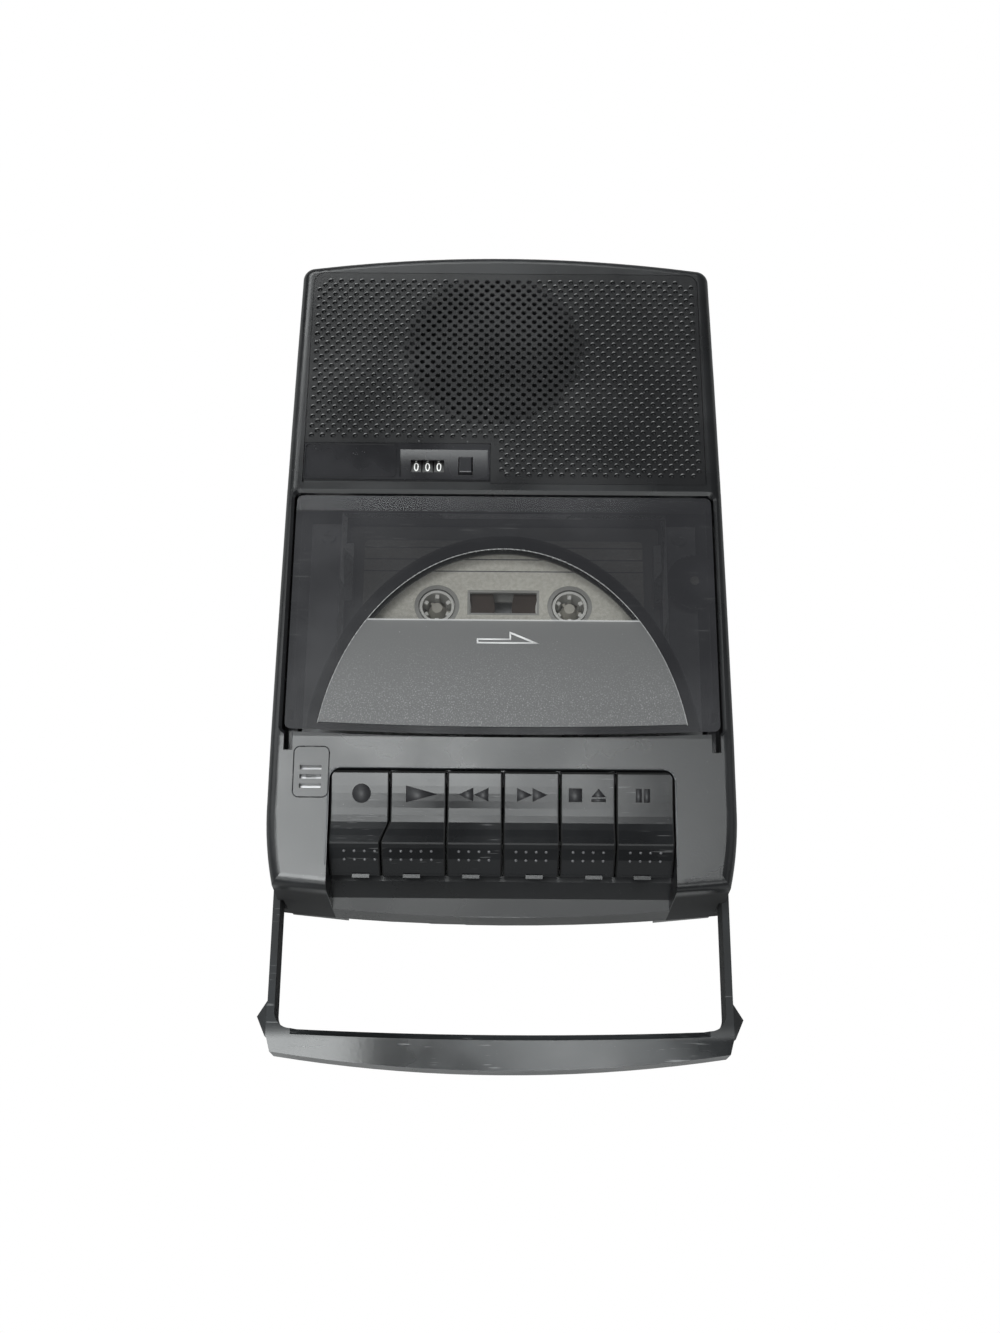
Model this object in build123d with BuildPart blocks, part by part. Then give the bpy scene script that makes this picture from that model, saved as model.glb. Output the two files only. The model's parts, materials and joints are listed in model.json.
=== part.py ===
"""Shoebox compact-cassette recorder with a pull-out carrying handle.

Frame: +X to the right, +Y to the speaker end, +Z up, millimetres.
The origin is the middle of the base of the whole object's box, handle pulled out.
"""

from build123d import *
import math
import os

os.makedirs("parts", exist_ok=True)

# ---- driving dimensions: case -------------------------------------------------
case_length = 226.0
case_half_width = 72.0
rear_half_width = case_half_width - 1.8
front_corner_half = case_half_width - 2.6
front_bow = 3.7
rear_bow = 5.4
shoulder_setback = 27.0  # from the front of the bow to the widest point
rear_corner_radius = 5.0
front_corner_radius = 1.2
case_draft = 0.9  # inset of the plan from split to top
top_z = 48.0
split_z = 12.8
base_z = 2.0
base_edge_radius = 5.0
wall = 2.0
top_wall = 2.4
top_edge_radius = 3.6
deck_slope = 3.6  # degrees, down towards the front
grille_slope = 1.8  # degrees, down towards the rear
side_belly = 0.6
least_radius = 0.6
beyond = 6.0  # cutters reach this far past what they cut
all_through = (0, 40)  # levels of a cutter through plates, boards and wheels
fit_gap = 0.15
slide_gap = 0.2
running_gap = 0.05

# ---- driving dimensions: handle -----------------------------------------------
handle_travel = 36.4
bar_stand_off = 0.2  # bar to case when the handle is pushed in
bar_depth = 10.8
handle_height = 11.0
arm_thickness = 2.2
arm_outer_half = case_half_width - 1.5
arm_inside = 36.0  # arm left in the case when pulled out
ear_reach = 4.0
bar_bow = 5.2
bar_inner_bow = 1.6
bar_inner_radius = 5.0
corner_relief = 0.8  # cut beside the mouth for the bar's inner corner
bar_corner_setback = 1.3  # bar's front corners inside the arms' outer faces
bar_chamfer = 1.8  # along the bar's inner top edge

overall_length = case_length + bar_stand_off + handle_travel + bar_depth
rear_y = overall_length / 2
front_y = rear_y - case_length
bar_front_y = -overall_length / 2
bar_inner_y = bar_front_y + bar_depth
handle_z = split_z + slide_gap
handle_top_z = handle_z + handle_height

# ---- driving dimensions: lid and cassette ---------------------------------------
lid_length = 81.3
lid_half_width = case_half_width - 5.2
lid_thickness = 2.2
lid_gap = 0.9
lid_bow = 1.6
lid_front_setback = 50.3  # from the front of the case to the lid's front edge
lid_undercut = 2.9
lid_corner_radius = 2.0
lid_bevel_depth = 5.7
lid_bevel_drop = 1.1
lid_skirt = 3.2
lid_skirt_thickness = 1.6
hinge_ahead = 7.0  # hinge axis ahead of the lid's front edge
hinge_below = 12.0  # hinge axis below the top of the lid
hinge_pin_radius = 1.0
hinge_arm_half = lid_half_width - 1.4  # arms at the lid's corners
hinge_arm_width = 2.0
hinge_boss_radius = 2.4
window_half_width = 58.4
window_height = 76.4
window_centre_ahead = 13.9  # centre of the ellipse ahead of the lid's front edge
window_ledge = 1.2
window_strip = 2.5  # lid left in front of the window
window_thickness = 1.4
sight_setback = 11.5  # behind the lid's front edge to the see-through opening

cassette_width = 100.4
cassette_depth = 63.8
cassette_thickness = 8.7
cassette_thick_zone = 12.1
cassette_thick_depth = 16.0
cassette_wall = 1.2
hub_spacing = 42.5
hub_from_back = 27.9
cassette_top_z = 40.0
label_thickness = 0.2
pack_radius = 18.5
pack_height = 3.8

# ---- driving dimensions: mechanism ----------------------------------------------
chassis_thickness = 1.2
chassis_z = 25.0
chassis_half_width = case_half_width - 8.0
flywheel_radius = 18.0
flywheel_thickness = 5.0
capstan_radius = 1.2
capstan_half_spacing = 24.3
capstan_from_front = 4.9
roller_radius = 5.5
roller_height = 7.0
head_travel = 4.0
motor_radius = 15.0
motor_pulley_radius = 4.0
drive_belt_thickness = 0.8
counter_belt_thickness = 0.7
key_well_half = 52.4
key_well_length = 30.5
key_well_setback = 9.1  # from the front of the case to the well
key_well_radius = 3.5
key_gap = 0.6
divider_slant = 2.5  # how far the play key widens into the record key
key_shaft_radius = 1.5
key_hub_radius = 3.5
lever_width = 5.2

# ---- driving dimensions: speaker end -----------------------------------------------
grille_length = 81.4
grille_half_width = case_half_width - 6.6
grille_thickness = 1.2
grille_setback = 2.2  # behind the edge of the case at the lid
grille_corner_radius = 4.0
hole_pitch = 3.57
hole_radius = 0.85
speaker_x = -3.6
speaker_setback = 53.2
speaker_opening_radius = 29.6
speaker_radius = 33.0
speaker_depth = 11.0
magnet_radius = 15.0
counter_length = 60.5
counter_depth = 13.4
counter_left = 0.1 - grille_half_width
wheel_radius = 5.4
wheel_pitch = 3.7
wheel_width = 3.3
wheel_drop = 0.7

cell_radius = 13.1
cell_length = 50.0
cover_thickness = 1.8

front_foot_length = 20.4
rear_foot_length = 13.0
foot_depth = 11.0

# ---- derived places ------------------------------------------------------------------
lid_front_y = front_y + lid_front_setback
lid_rear_y = lid_front_y + lid_length
lid_under_z = top_z - lid_thickness
hinge_y = lid_front_y - hinge_ahead
hinge_z = top_z - hinge_below
edge_y = lid_rear_y + lid_gap + 1.3  # front edge of the speaker end
well_front_y = front_y + key_well_setback
well_rear_y = well_front_y + key_well_length
reel_y = lid_front_y + 45.8
cassette_back_y = reel_y + hub_from_back
cassette_front_y = cassette_back_y - cassette_depth
cassette_base_z = cassette_top_z - cassette_thickness
thick_extra = (cassette_thick_zone - cassette_thickness) / 2
thick_top_z = cassette_top_z + thick_extra
thick_base_z = cassette_base_z - thick_extra
capstan_x = capstan_half_spacing
capstan_y = cassette_front_y + capstan_from_front
chassis_top_z = chassis_z + chassis_thickness
floor_z = base_z + wall
channel_top_z = handle_top_z + slide_gap
channel_inner_half = arm_outer_half - arm_thickness - slide_gap
channel_outer_half = arm_outer_half + slide_gap
arm_rear_y = front_y + arm_inside
channel_rear_y = arm_rear_y + handle_travel + 3.0
grille_plane = Plane(
    origin=(0, edge_y, top_z),
    x_dir=(1, 0, 0),
    z_dir=(0, math.sin(math.radians(grille_slope)), math.cos(math.radians(grille_slope))),
)


def deck_height(y):
    """Height of the key deck's surface at y."""
    return top_z - (lid_front_y - lid_gap - y) * math.tan(math.radians(deck_slope))


def grille_height(y):
    """Height of the speaker end's surface at y."""
    return top_z - (y - edge_y) * math.tan(math.radians(grille_slope))


# ---- small builders, used inside a BuildPart block ---------------------------------------
def block(x, y, z, mode=Mode.ADD):
    """A box given by its low and high x, y and z."""
    centre = tuple((low + high) / 2 for low, high in (x, y, z))
    size = tuple(high - low for low, high in (x, y, z))
    with Locations(centre):
        return Box(*size, mode=mode)


def post(x, y, radius, z, mode=Mode.ADD):
    """A vertical cylinder."""
    with Locations((x, y, (z[0] + z[1]) / 2)):
        return Cylinder(radius, z[1] - z[0], mode=mode)


def rod(y, z, radius, x, mode=Mode.ADD):
    """A cylinder along X."""
    with Locations(((x[0] + x[1]) / 2, y, z)):
        return Cylinder(radius, x[1] - x[0], rotation=(0, 90, 0), mode=mode)


def side_shape(points, x, mode=Mode.ADD):
    """A polygon of (y, z) points carried along X."""
    with BuildSketch(Plane.YZ.offset(x[0])) as shape:
        with BuildLine():
            Polyline(*points, close=True)
        make_face()
    return extrude(shape.sketch, amount=x[1] - x[0], mode=mode)


def save(builder, name):
    """Label a finished piece and write it to its file."""
    builder.part.label = name
    export_step(builder.part, f"parts/{name}.step")


# ---- case form: plan outline drawn up with a little draft, topped by three flats --------------
def case_outline(level, inset):
    """Plan of the case at a height, moved inwards by inset."""
    half = case_half_width - inset
    corner_x = front_corner_half - inset
    corner_y = front_y + front_bow + inset
    wide_y = front_y + shoulder_setback
    rear_x = rear_half_width - inset
    rear_corner_y = rear_y - rear_bow - inset
    with BuildSketch(Plane.XY.offset(level)) as outline:
        with BuildLine():
            ThreePointArc((-corner_x, corner_y), (0, front_y + inset), (corner_x, corner_y))
            for side in (1, -1):
                bend_x = half - (half - corner_x) / 4
                bend = (side * bend_x, (wide_y + corner_y) / 2)
                ThreePointArc((side * corner_x, corner_y), bend, (side * half, wide_y))
                belly_x = (half + rear_x + side_belly) / 2
                belly = (side * belly_x, (wide_y + rear_corner_y) / 2)
                ThreePointArc((side * half, wide_y), belly, (side * rear_x, rear_corner_y))
            ThreePointArc((-rear_x, rear_corner_y), (0, rear_y - inset), (rear_x, rear_corner_y))
        make_face()
        by_depth = outline.vertices().group_by(Axis.Y)
        fillet(by_depth[-1], max(rear_corner_radius - inset, least_radius))
        fillet(by_depth[0], max(front_corner_radius - inset / 2, least_radius))
    return outline.sketch


def upper_form(inset, drop, edge_radius):
    """Solid form of the upper case, inset at the sides and dropped at the top."""
    high = top_z + beyond
    above = high + beyond
    front_edge = front_y - beyond
    rear_edge = rear_y + beyond
    profile = [
        (front_edge, deck_height(front_edge) - drop),
        (lid_front_y - lid_gap, top_z - drop),
        (edge_y, top_z - drop),
        (rear_edge, grille_height(rear_edge) - drop),
        (rear_edge, above),
        (front_edge, above),
    ]
    with BuildPart() as form:
        loft([case_outline(split_z, inset), case_outline(high, inset + case_draft)])
        side_shape(profile, (-case_half_width - beyond, case_half_width + beyond), Mode.SUBTRACT)
        top_faces = form.faces().filter_by(lambda face: face.normal_at().Z > 0.9)
        side_faces = form.faces().filter_by(lambda face: abs(face.normal_at().Z) < 0.5)
        rim = ShapeList()
        for edge in form.edges():
            meets_top = any(edge in face.edges() for face in top_faces)
            meets_side = any(edge in face.edges() for face in side_faces)
            if meets_top and meets_side:
                rim.append(edge)
        fillet(rim, edge_radius)
    return form.part


outer_form = upper_form(0.0, 0.0, top_edge_radius)
inner_form = upper_form(wall, top_wall, top_edge_radius - wall)


# ---- upper case ---------------------------------------------------------------------------
scoop_half = key_well_half
scoop_wall = 1.8
scoop_top_z = 28.2
well_base_z = 33.0  # lower end of the walls beside the keys
scoop_line = [
    (front_y - beyond, 17.5),
    (front_y + 0.3, 18.2),
    (front_y + 5.3, 21.5),
    (well_front_y, scoop_top_z),
]
scoop_wall_line = [
    (well_front_y + scoop_wall, scoop_top_z),
    (front_y + 7.0, 19.9),
    (front_y + 1.8, 16.4),
    (front_y + 1.0, split_z),
    (front_y - beyond, split_z),
]
ear_z = hinge_z - hinge_boss_radius - 0.8
ear_inner = hinge_arm_half + hinge_arm_width / 2 + slide_gap
ear_outer = ear_inner + 1.8
notch_half = hinge_arm_width / 2 + 0.4
notch_depth = 4.4
slot_pitch = 2.85
slot_ys = [well_rear_y - slot_pitch * step for step in range(3)]
slot_height = 1.3
mic_x = 13.8 - case_half_width
mic_y = well_rear_y - 1.9
mic_radius = 4.7
mic_length = 5.0
mic_top_z = 44.8
mic_port_radius = 1.6
mic_boss_z = 39.0
slot_half = 3.3
counter_right = counter_left + counter_length
counter_front = edge_y + 3.3
counter_rear = counter_front + counter_depth
bezel_thickness = 1.2
wheel_y = counter_front + 5.4
wheel_x = counter_left + 40.25
button_x = (counter_left + 50.5, counter_left + 54.8)
button_y = (counter_front + 2.6, counter_front + 8.4)
cutout_x = (counter_left + 32.3, counter_left + 56.3)
cutout_y = (counter_front + 1.6, counter_rear - 1.2)
jack_places = {"earphone_jack": 0.0, "microphone_jack": 14.0, "dc_jack": 28.0}
jack_radius = 3.4
jack_inset = 3.8  # jack's block inside the widest side
jack_body_length = 13.6
jack_body_half = 5.0
jack_bore_length = 11.2
plug_bore_radius = 1.8
power_bore_radius = 2.75
power_pin_radius = 0.65
jack_z = 19.0
volume_radius = 9.0
volume_thickness = 3.6
volume_y = 20.0
volume_z = 28.2
volume_proud = 1.5  # rim of the wheel outside the case
volume_body_radius = 6.0
volume_spindle_radius = 1.5
volume_seat = 0.3  # wheel over the control's body
knurl_radius = 0.35
volume_x = rear_half_width + volume_proud - volume_radius
front_screw_place = (case_half_width - 12.0, front_y + 27.3)
rear_screw_place = (case_half_width - 10.5, rear_y - 11.7)
screw_places = [(side * x, y) for x, y in (front_screw_place, rear_screw_place) for side in (1, -1)]
boss_radius = 4.0
screw_radius = 1.5
screw_head_radius = 3.0
screw_head_height = 2.0
pilot_radius = 1.5


def lid_outline(level, margin, front_shift):
    """Plan of the lid grown by margin, its front edge moved back by front_shift."""
    half = lid_half_width + margin
    front = lid_front_y - margin + front_shift
    rear = lid_rear_y + margin
    with BuildSketch(Plane.XY.offset(level)) as outline:
        with BuildLine():
            ThreePointArc((-half, front + lid_bow), (0, front), (half, front + lid_bow))
            Polyline((half, front + lid_bow), (half, rear), (-half, rear), (-half, front + lid_bow))
        make_face()
        fillet(outline.vertices(), lid_corner_radius)
    return outline.sketch


apart = Mode.PRIVATE  # a shape made to be added or cut with others in one go
with BuildPart() as upper_case:
    walls = [
        side_shape(scoop_line + scoop_wall_line, (-scoop_half - wall, scoop_half + wall), apart),
        block((-lid_half_width, lid_half_width), (edge_y, edge_y + 1.6), (30.0, top_z), apart),
        post(mic_x, mic_y, mic_radius + 1.1, (mic_boss_z, top_z), apart),
    ]
    walls += [post(x, y, boss_radius, (split_z, top_z), apart) for x, y in screw_places]
    for side in (1, -1):
        scoop_x = sorted((side * scoop_half, side * (scoop_half + wall)))
        walls.append(block(scoop_x, (front_y, well_front_y + scoop_wall), (split_z, top_z), apart))
        well_x = sorted((side * (key_well_half + 0.2), side * (key_well_half + scoop_wall)))
        walls.append(block(well_x, (well_front_y, well_rear_y), (well_base_z, top_z), apart))
        rib_x = sorted((side * (channel_inner_half - 1.6), side * case_half_width))
        rib_y = (front_y, channel_rear_y + 1.5)
        walls.append(block(rib_x, rib_y, (split_z, channel_top_z + 1.5), apart))
        ear_x = sorted((side * ear_inner, side * ear_outer))
        walls.append(block(ear_x, (hinge_y - 3.0, hinge_y + 3.0), (ear_z, top_z), apart))
    add(walls)
    add(outer_form, mode=Mode.INTERSECT)
    shell = outer_form - inner_form
    add(shell)

    # scoop, key well and lid opening
    scoop_cut = scoop_line + [(well_front_y, top_z + beyond), (front_y - beyond, top_z + beyond)]
    cuts = [
        side_shape(scoop_cut, (-scoop_half, scoop_half), apart),
        block((-scoop_half, scoop_half), (well_front_y, well_rear_y), (scoop_top_z, well_base_z + 1.0), apart),
        extrude(lid_outline(lid_under_z - beyond, lid_gap, 0), amount=2 * beyond, mode=apart),
    ]
    with BuildSketch(Plane.XY.offset(well_base_z)) as well:
        with Locations((0, (well_front_y + well_rear_y) / 2)):
            Rectangle(2 * key_well_half, key_well_length)
        fillet(well.vertices().group_by(Axis.Y)[-1], key_well_radius)
    cuts.append(extrude(well.sketch, amount=top_z, mode=apart))
    # handle channels, open to the front corners, with slots for the stop lugs
    channel_z = (split_z - 1, channel_top_z)
    for side in (1, -1):
        channel_x = sorted((side * channel_inner_half, side * channel_outer_half))
        cuts.append(block(channel_x, (front_y - beyond, channel_rear_y), channel_z, apart))
        mouth_x = sorted((side * channel_inner_half, side * (case_half_width + beyond)))
        cuts.append(block(mouth_x, (front_y - beyond, front_y + bar_depth), channel_z, apart))
        relief_x = sorted((side * (channel_inner_half - corner_relief), side * channel_inner_half))
        cuts.append(block(relief_x, (front_y - beyond, front_y + bar_inner_radius), channel_z, apart))
        slot_x = sorted((side * (channel_inner_half - 3.0), side * channel_inner_half))
        cuts.append(block(slot_x, (arm_rear_y - 3.2, channel_rear_y), (16.0, 21.0), apart))
        notch_x = (side * hinge_arm_half - notch_half, side * hinge_arm_half + notch_half)
        notch_y = (lid_front_y - lid_gap - notch_depth, lid_front_y + lid_bow)
        cuts.append(block(notch_x, notch_y, (lid_under_z - 1.0, top_z + 1.0), apart))
        pin_x = sorted((side * (ear_inner - 1), side * (ear_outer + 1)))
        cuts.append(rod(hinge_y, hinge_z, hinge_pin_radius, pin_x, apart))
    # microphone slots and socket, screw pilots, jacks and volume wheel
    cuts.append(post(mic_x, mic_y, mic_radius + fit_gap, (30.0, 45.0), apart))
    for slot_y in slot_ys:
        slot_x = (mic_x - slot_half, mic_x + slot_half)
        slot_y_range = (slot_y - slot_height / 2, slot_y + slot_height / 2)
        cuts.append(block(slot_x, slot_y_range, (42.0, top_z + 1), apart))
    cuts += [post(x, y, pilot_radius, (split_z - 1, 24.0), apart) for x, y in screw_places]
    for jack_y in jack_places.values():
        jack_x = (-case_half_width - 1, 10.0 - case_half_width)
        cuts.append(rod(jack_y, jack_z, jack_radius + fit_gap, jack_x, apart))
    volume_room = (volume_z - 0.4, volume_z + volume_thickness + 0.4)
    cuts.append(post(volume_x, volume_y, volume_radius + 0.6, volume_room, apart))
    # recesses for the grille and the counter, and the openings under them
    with BuildSketch(grille_plane.offset(-grille_thickness)) as recess:
        with Locations((0, grille_setback + grille_length / 2)):
            Rectangle(2 * (grille_half_width + fit_gap), grille_length + 2 * fit_gap)
        fillet(recess.vertices().group_by(Axis.Y)[-1], grille_corner_radius)
    cuts.append(extrude(recess.sketch, amount=beyond, mode=apart))
    with BuildSketch(grille_plane.offset(-beyond)) as throats:
        with Locations((speaker_x, speaker_setback)):
            Circle(speaker_opening_radius)
        with Locations((sum(cutout_x) / 2, sum(cutout_y) / 2 - edge_y)):
            Rectangle(cutout_x[1] - cutout_x[0], cutout_y[1] - cutout_y[0])
    cuts.append(extrude(throats.sketch, amount=2 * beyond, mode=apart))
    add(cuts, mode=Mode.SUBTRACT)
    opening_edge = upper_case.edges().filter_by(Axis.X).filter_by_position(
        Axis.Y, lid_rear_y + lid_gap - 0.01, lid_rear_y + lid_gap + 0.01
    )
    chamfer(opening_edge.sort_by(Axis.Z)[-1], 1.0)
save(upper_case, "upper_case")

# ---- lower case -----------------------------------------------------------------------------
bay_half = cell_length + 4.0
bay_front_y = edge_y + 20.0
bay_rear_y = bay_front_y + 4 * cell_radius + 4.1
bay_top_z = floor_z + 2 * cell_radius + 0.8
bay_wall = 1.2
row_ys = (bay_front_y + 0.9 + cell_radius, bay_rear_y - 1.4 - cell_radius)
cell_z = floor_z + 0.6 + cell_radius
cover_half = cell_length
cover_front_y = bay_front_y + 1.6
cover_shelf_z = base_z + cover_thickness + slide_gap
chassis_post_x = chassis_half_width - 5.5
chassis_post_ys = (lid_front_y + 11.0, lid_rear_y - 5.3)
chassis_posts = [(side * chassis_post_x, y) for y in chassis_post_ys for side in (1, -1)]
post_radius = 3.5
motor_x = -28.0
motor_y = 14.0
motor_height = 13.5
board_z = 8.0
board_thickness = 1.6
board_x = (2.0, chassis_half_width - 4.0)
board_y = (lid_front_y - 9.0, lid_rear_y - 4.3)
board_margin = 4.0
board_post_xs = (board_x[0] + board_margin, board_x[1] - board_margin)
board_post_ys = (board_y[0] + board_margin, board_y[1] - board_margin)
board_posts = [(x, y) for y in board_post_ys for x in board_post_xs]
flywheel_z = 18.5
thrust_radius = 2.5

with BuildPart() as lower_form:
    extrude(case_outline(base_z, 0.0), amount=split_z - base_z)
    fillet(lower_form.faces().sort_by(Axis.Z)[0].edges(), base_edge_radius)

with BuildPart() as lower_hollow:
    extrude(case_outline(floor_z, wall), amount=split_z)
    fillet(lower_hollow.faces().sort_by(Axis.Z)[0].edges(), base_edge_radius - wall)

with BuildPart() as lower_case:
    motor_ring_z = (floor_z - 1, floor_z + 8.0)
    rises = [
        post(motor_x, motor_y, motor_radius + 1.6, motor_ring_z, apart)
        - post(motor_x, motor_y, motor_radius + fit_gap, (floor_z, top_z), apart),
        post(capstan_x, capstan_y, thrust_radius, (floor_z - 1, flywheel_z - 0.55), apart),
        block((-bay_half - bay_wall, bay_half + bay_wall),
              (bay_front_y - bay_wall, bay_rear_y + bay_wall),
              (floor_z - 1, bay_top_z + bay_wall), apart)
        - block((-bay_half, bay_half), (bay_front_y, bay_rear_y), (floor_z, bay_top_z), apart),
        block((-cover_half, cover_half), (bay_rear_y, rear_y - 4.0),
              (cover_shelf_z - 1, cover_shelf_z + 1.6), apart),
    ]
    rises += [post(x, y, post_radius, (floor_z - 1, chassis_z), apart) for x, y in chassis_posts]
    rises += [post(x, y, 2.5, (floor_z - 1, board_z), apart) for x, y in board_posts]
    rises += [post(x, y, boss_radius, (floor_z - 1, split_z), apart) for x, y in screw_places]
    for side in (1, -1):
        ledge_x = sorted((side * (channel_inner_half - 1.6), side * (case_half_width - 1.0)))
        ledge_y = (front_y + 7.0, channel_rear_y + 1.5)
        rises.append(block(ledge_x, ledge_y, (split_z - 1.8, split_z), apart))
    add(lower_form.part - lower_hollow.part)
    add(rises)
    # battery door opening, with a shelf the cover slides under
    slot_x = (-cover_half - slide_gap, cover_half + slide_gap)
    slot_front = cover_front_y - slide_gap
    holes = [
        block(slot_x, (slot_front, rear_y + beyond), (base_z - 1, cover_shelf_z), apart),
        block(slot_x, (slot_front, bay_rear_y), (base_z - 1, floor_z + 1), apart),
    ]
    holes += [post(x, y, 1.1, (12.0, chassis_z + 1), apart) for x, y in chassis_posts]
    for x, y in screw_places:
        holes.append(post(x, y, screw_radius + fit_gap, (0, split_z + 1), apart))
        head_z = (0, 5.0 + screw_head_height)
        holes.append(post(x, y, screw_head_radius + slide_gap, head_z, apart))
    add(holes, mode=Mode.SUBTRACT)
save(lower_case, "lower_case")

with BuildPart() as case_screws:
    for x, y in screw_places:
        post(x, y, screw_head_radius, (5.0, 5.0 + screw_head_height))
        post(x, y, screw_radius, (5.0 + screw_head_height, 23.0))
        with Locations((x, y, 5.0)):
            Box(3.6, 0.8, 2.0, mode=Mode.SUBTRACT)
            Box(0.8, 3.6, 2.0, mode=Mode.SUBTRACT)
save(case_screws, "case_screws")

with BuildPart() as rubber_feet:
    for side in (1, -1):
        with BuildSketch() as front_foot:
            with BuildLine():
                foot_outer = front_corner_half + slide_gap
                Polyline(
                    (side * (front_corner_half - front_foot_length), front_y + 3.0 + foot_depth),
                    (side * (front_corner_half - front_foot_length), front_y + 2.6),
                    (side * (front_corner_half - 2.4), front_y + 4.4),
                    (side * foot_outer, front_y + 7.4),
                    (side * foot_outer, front_y + 3.0 + foot_depth),
                    close=True,
                )
            make_face()
        extrude(front_foot.sketch, amount=6.0)
        with BuildSketch() as rear_foot:
            with Locations((side * (rear_half_width - 10.7), rear_y - 24.0)):
                RectangleRounded(rear_foot_length, foot_depth, 2.0)
        extrude(rear_foot.sketch, amount=base_z)
    add(lower_form.part, mode=Mode.SUBTRACT)
save(rubber_feet, "rubber_feet")

with BuildPart() as battery_cover:
    cover_y = (cover_front_y, bay_rear_y - slide_gap)
    block((-cover_half, cover_half), cover_y, (base_z, base_z + cover_thickness))
    for step in range(6):
        groove_y = cover_y[1] - 4.0 - 1.8 * step
        block((-12, 12), (groove_y - 0.45, groove_y + 0.45), (0, base_z + 0.5), Mode.SUBTRACT)
save(battery_cover, "battery_cover")

with BuildPart() as battery_cells:
    for row_y in row_ys:
        for start in (-cell_length, 0.0):
            rod(row_y, cell_z, cell_radius, (start + 0.05, start + cell_length - 2.0))
            rod(row_y, cell_z, 3.2, (start + cell_length - 2.0, start + cell_length - 0.05))
save(battery_cells, "battery_cells")

with BuildPart() as battery_contacts:
    for side in (1, -1):
        for row_y in row_ys:
            plate_x = sorted((side * (bay_half - 0.8), side * (bay_half - 0.2)))
            block(plate_x, (row_y - 7.0, row_y + 7.0), (cell_z - 9.0, cell_z + 9.0))
            rod(row_y, cell_z, 4.5, sorted((side * (cell_length + 0.2), side * (bay_half - 0.8))))
save(battery_contacts, "battery_contacts")

# ---- speaker end: grille, counter, speaker ----------------------------------------------------
def hole_centres():
    """Centres of the open holes, over the speaker only, in the grille's own plane."""
    reach = speaker_opening_radius - 2 * hole_radius
    rows = int(reach / (hole_pitch / 2))
    centres = []
    for row in range(-rows, rows + 1):
        offset = hole_pitch / 2 if row % 2 else 0.0
        across = int(reach / hole_pitch) + 1
        for column in range(-across, across + 1):
            x = column * hole_pitch + offset
            y = row * hole_pitch / 2
            if math.hypot(x, y) < reach:
                centres.append((speaker_x + x, speaker_setback + y))
    return centres


with BuildSketch(grille_plane.offset(-grille_thickness)) as grille_outline:
    with Locations((0, grille_setback + grille_length / 2)):
        Rectangle(2 * grille_half_width, grille_length)
    fillet(grille_outline.vertices().group_by(Axis.Y)[-1], grille_corner_radius)
    with Locations(((counter_left + counter_right) / 2, grille_setback + 7.8)):
        Rectangle(counter_length + 2 * fit_gap + 0.6, 17.2, mode=Mode.SUBTRACT)
grille_face = grille_outline.sketch.faces()[0]
hole_wires = [
    Wire.make_circle(
        hole_radius,
        Plane(
            origin=grille_plane.offset(-grille_thickness).from_local_coords((x, y, 0)),
            z_dir=grille_plane.z_dir,
        ),
    )
    for x, y in hole_centres()
]
with BuildPart() as grille_panel:
    extrude(Face(grille_face.outer_wire(), hole_wires), amount=grille_thickness)
save(grille_panel, "grille_panel")

counter_middle = counter_front + counter_depth / 2 - edge_y
plate_length = 30.9
plate_groove = 0.5
bezel_rise = 0.3
dip_depth = 1.2
dip_radius = 60.0
with BuildPart() as counter_bezel:
    with BuildSketch(grille_plane.offset(-grille_thickness)):
        with Locations(((counter_left + counter_right) / 2, counter_middle)):
            Rectangle(counter_length, counter_depth)
    extrude(amount=bezel_thickness + bezel_rise)
    # blank plate outlined by a groove, and the scooped part around the wheels and the button
    with BuildSketch(grille_plane.offset(0)):
        with Locations((counter_left + plate_length / 2, counter_middle)):
            RectangleRounded(plate_length - 0.8, counter_depth - 0.8, 1.5)
            RectangleRounded(plate_length - 0.8 - 2 * plate_groove, counter_depth - 0.8 - 2 * plate_groove,
                             1.2, mode=Mode.SUBTRACT)
    extrude(amount=beyond, mode=Mode.SUBTRACT)
    dip_x = (counter_left + plate_length + 0.4, counter_right - 0.7)
    dip_front = counter_front + 0.8
    dip_axis_z = grille_height(dip_front) + bezel_rise - dip_depth + dip_radius
    dip = rod(dip_front, dip_axis_z, dip_radius, dip_x, apart)
    add(dip & block(dip_x, (dip_front, counter_rear + 1), (40.0, top_z + beyond), apart),
        mode=Mode.SUBTRACT)
    with BuildSketch(grille_plane.offset(-beyond)):
        with Locations((wheel_x, wheel_y - edge_y)):
            Rectangle(10.9, 4.3)
        with Locations((sum(button_x) / 2, sum(button_y) / 2 - edge_y)):
            Rectangle(button_x[1] - button_x[0] + 0.4, button_y[1] - button_y[0] + 0.4)
    extrude(amount=2 * beyond, mode=Mode.SUBTRACT)
save(counter_bezel, "counter_bezel")

wheel_z = grille_height(wheel_y) - grille_thickness - wheel_drop - wheel_radius + 0.4
wheel_xs = (wheel_x + wheel_pitch, wheel_x, wheel_x - wheel_pitch)
axle_radius = 0.9
gear_radius = 3.2
worm_radius = 2.0
worm_x = wheel_xs[0] + wheel_width / 2 + worm_radius + slide_gap
axle_end = button_x[0] - 0.8
worm_y = wheel_y + gear_radius + worm_radius + running_gap
pulley_radius = 3.6
spindle_groove = 7.0
frame_z = 33.0
frame_x = (cutout_x[0] - 1.4, cutout_x[1] + 1.4)
frame_y = (counter_front + 1.0, counter_rear + 0.4)

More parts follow.
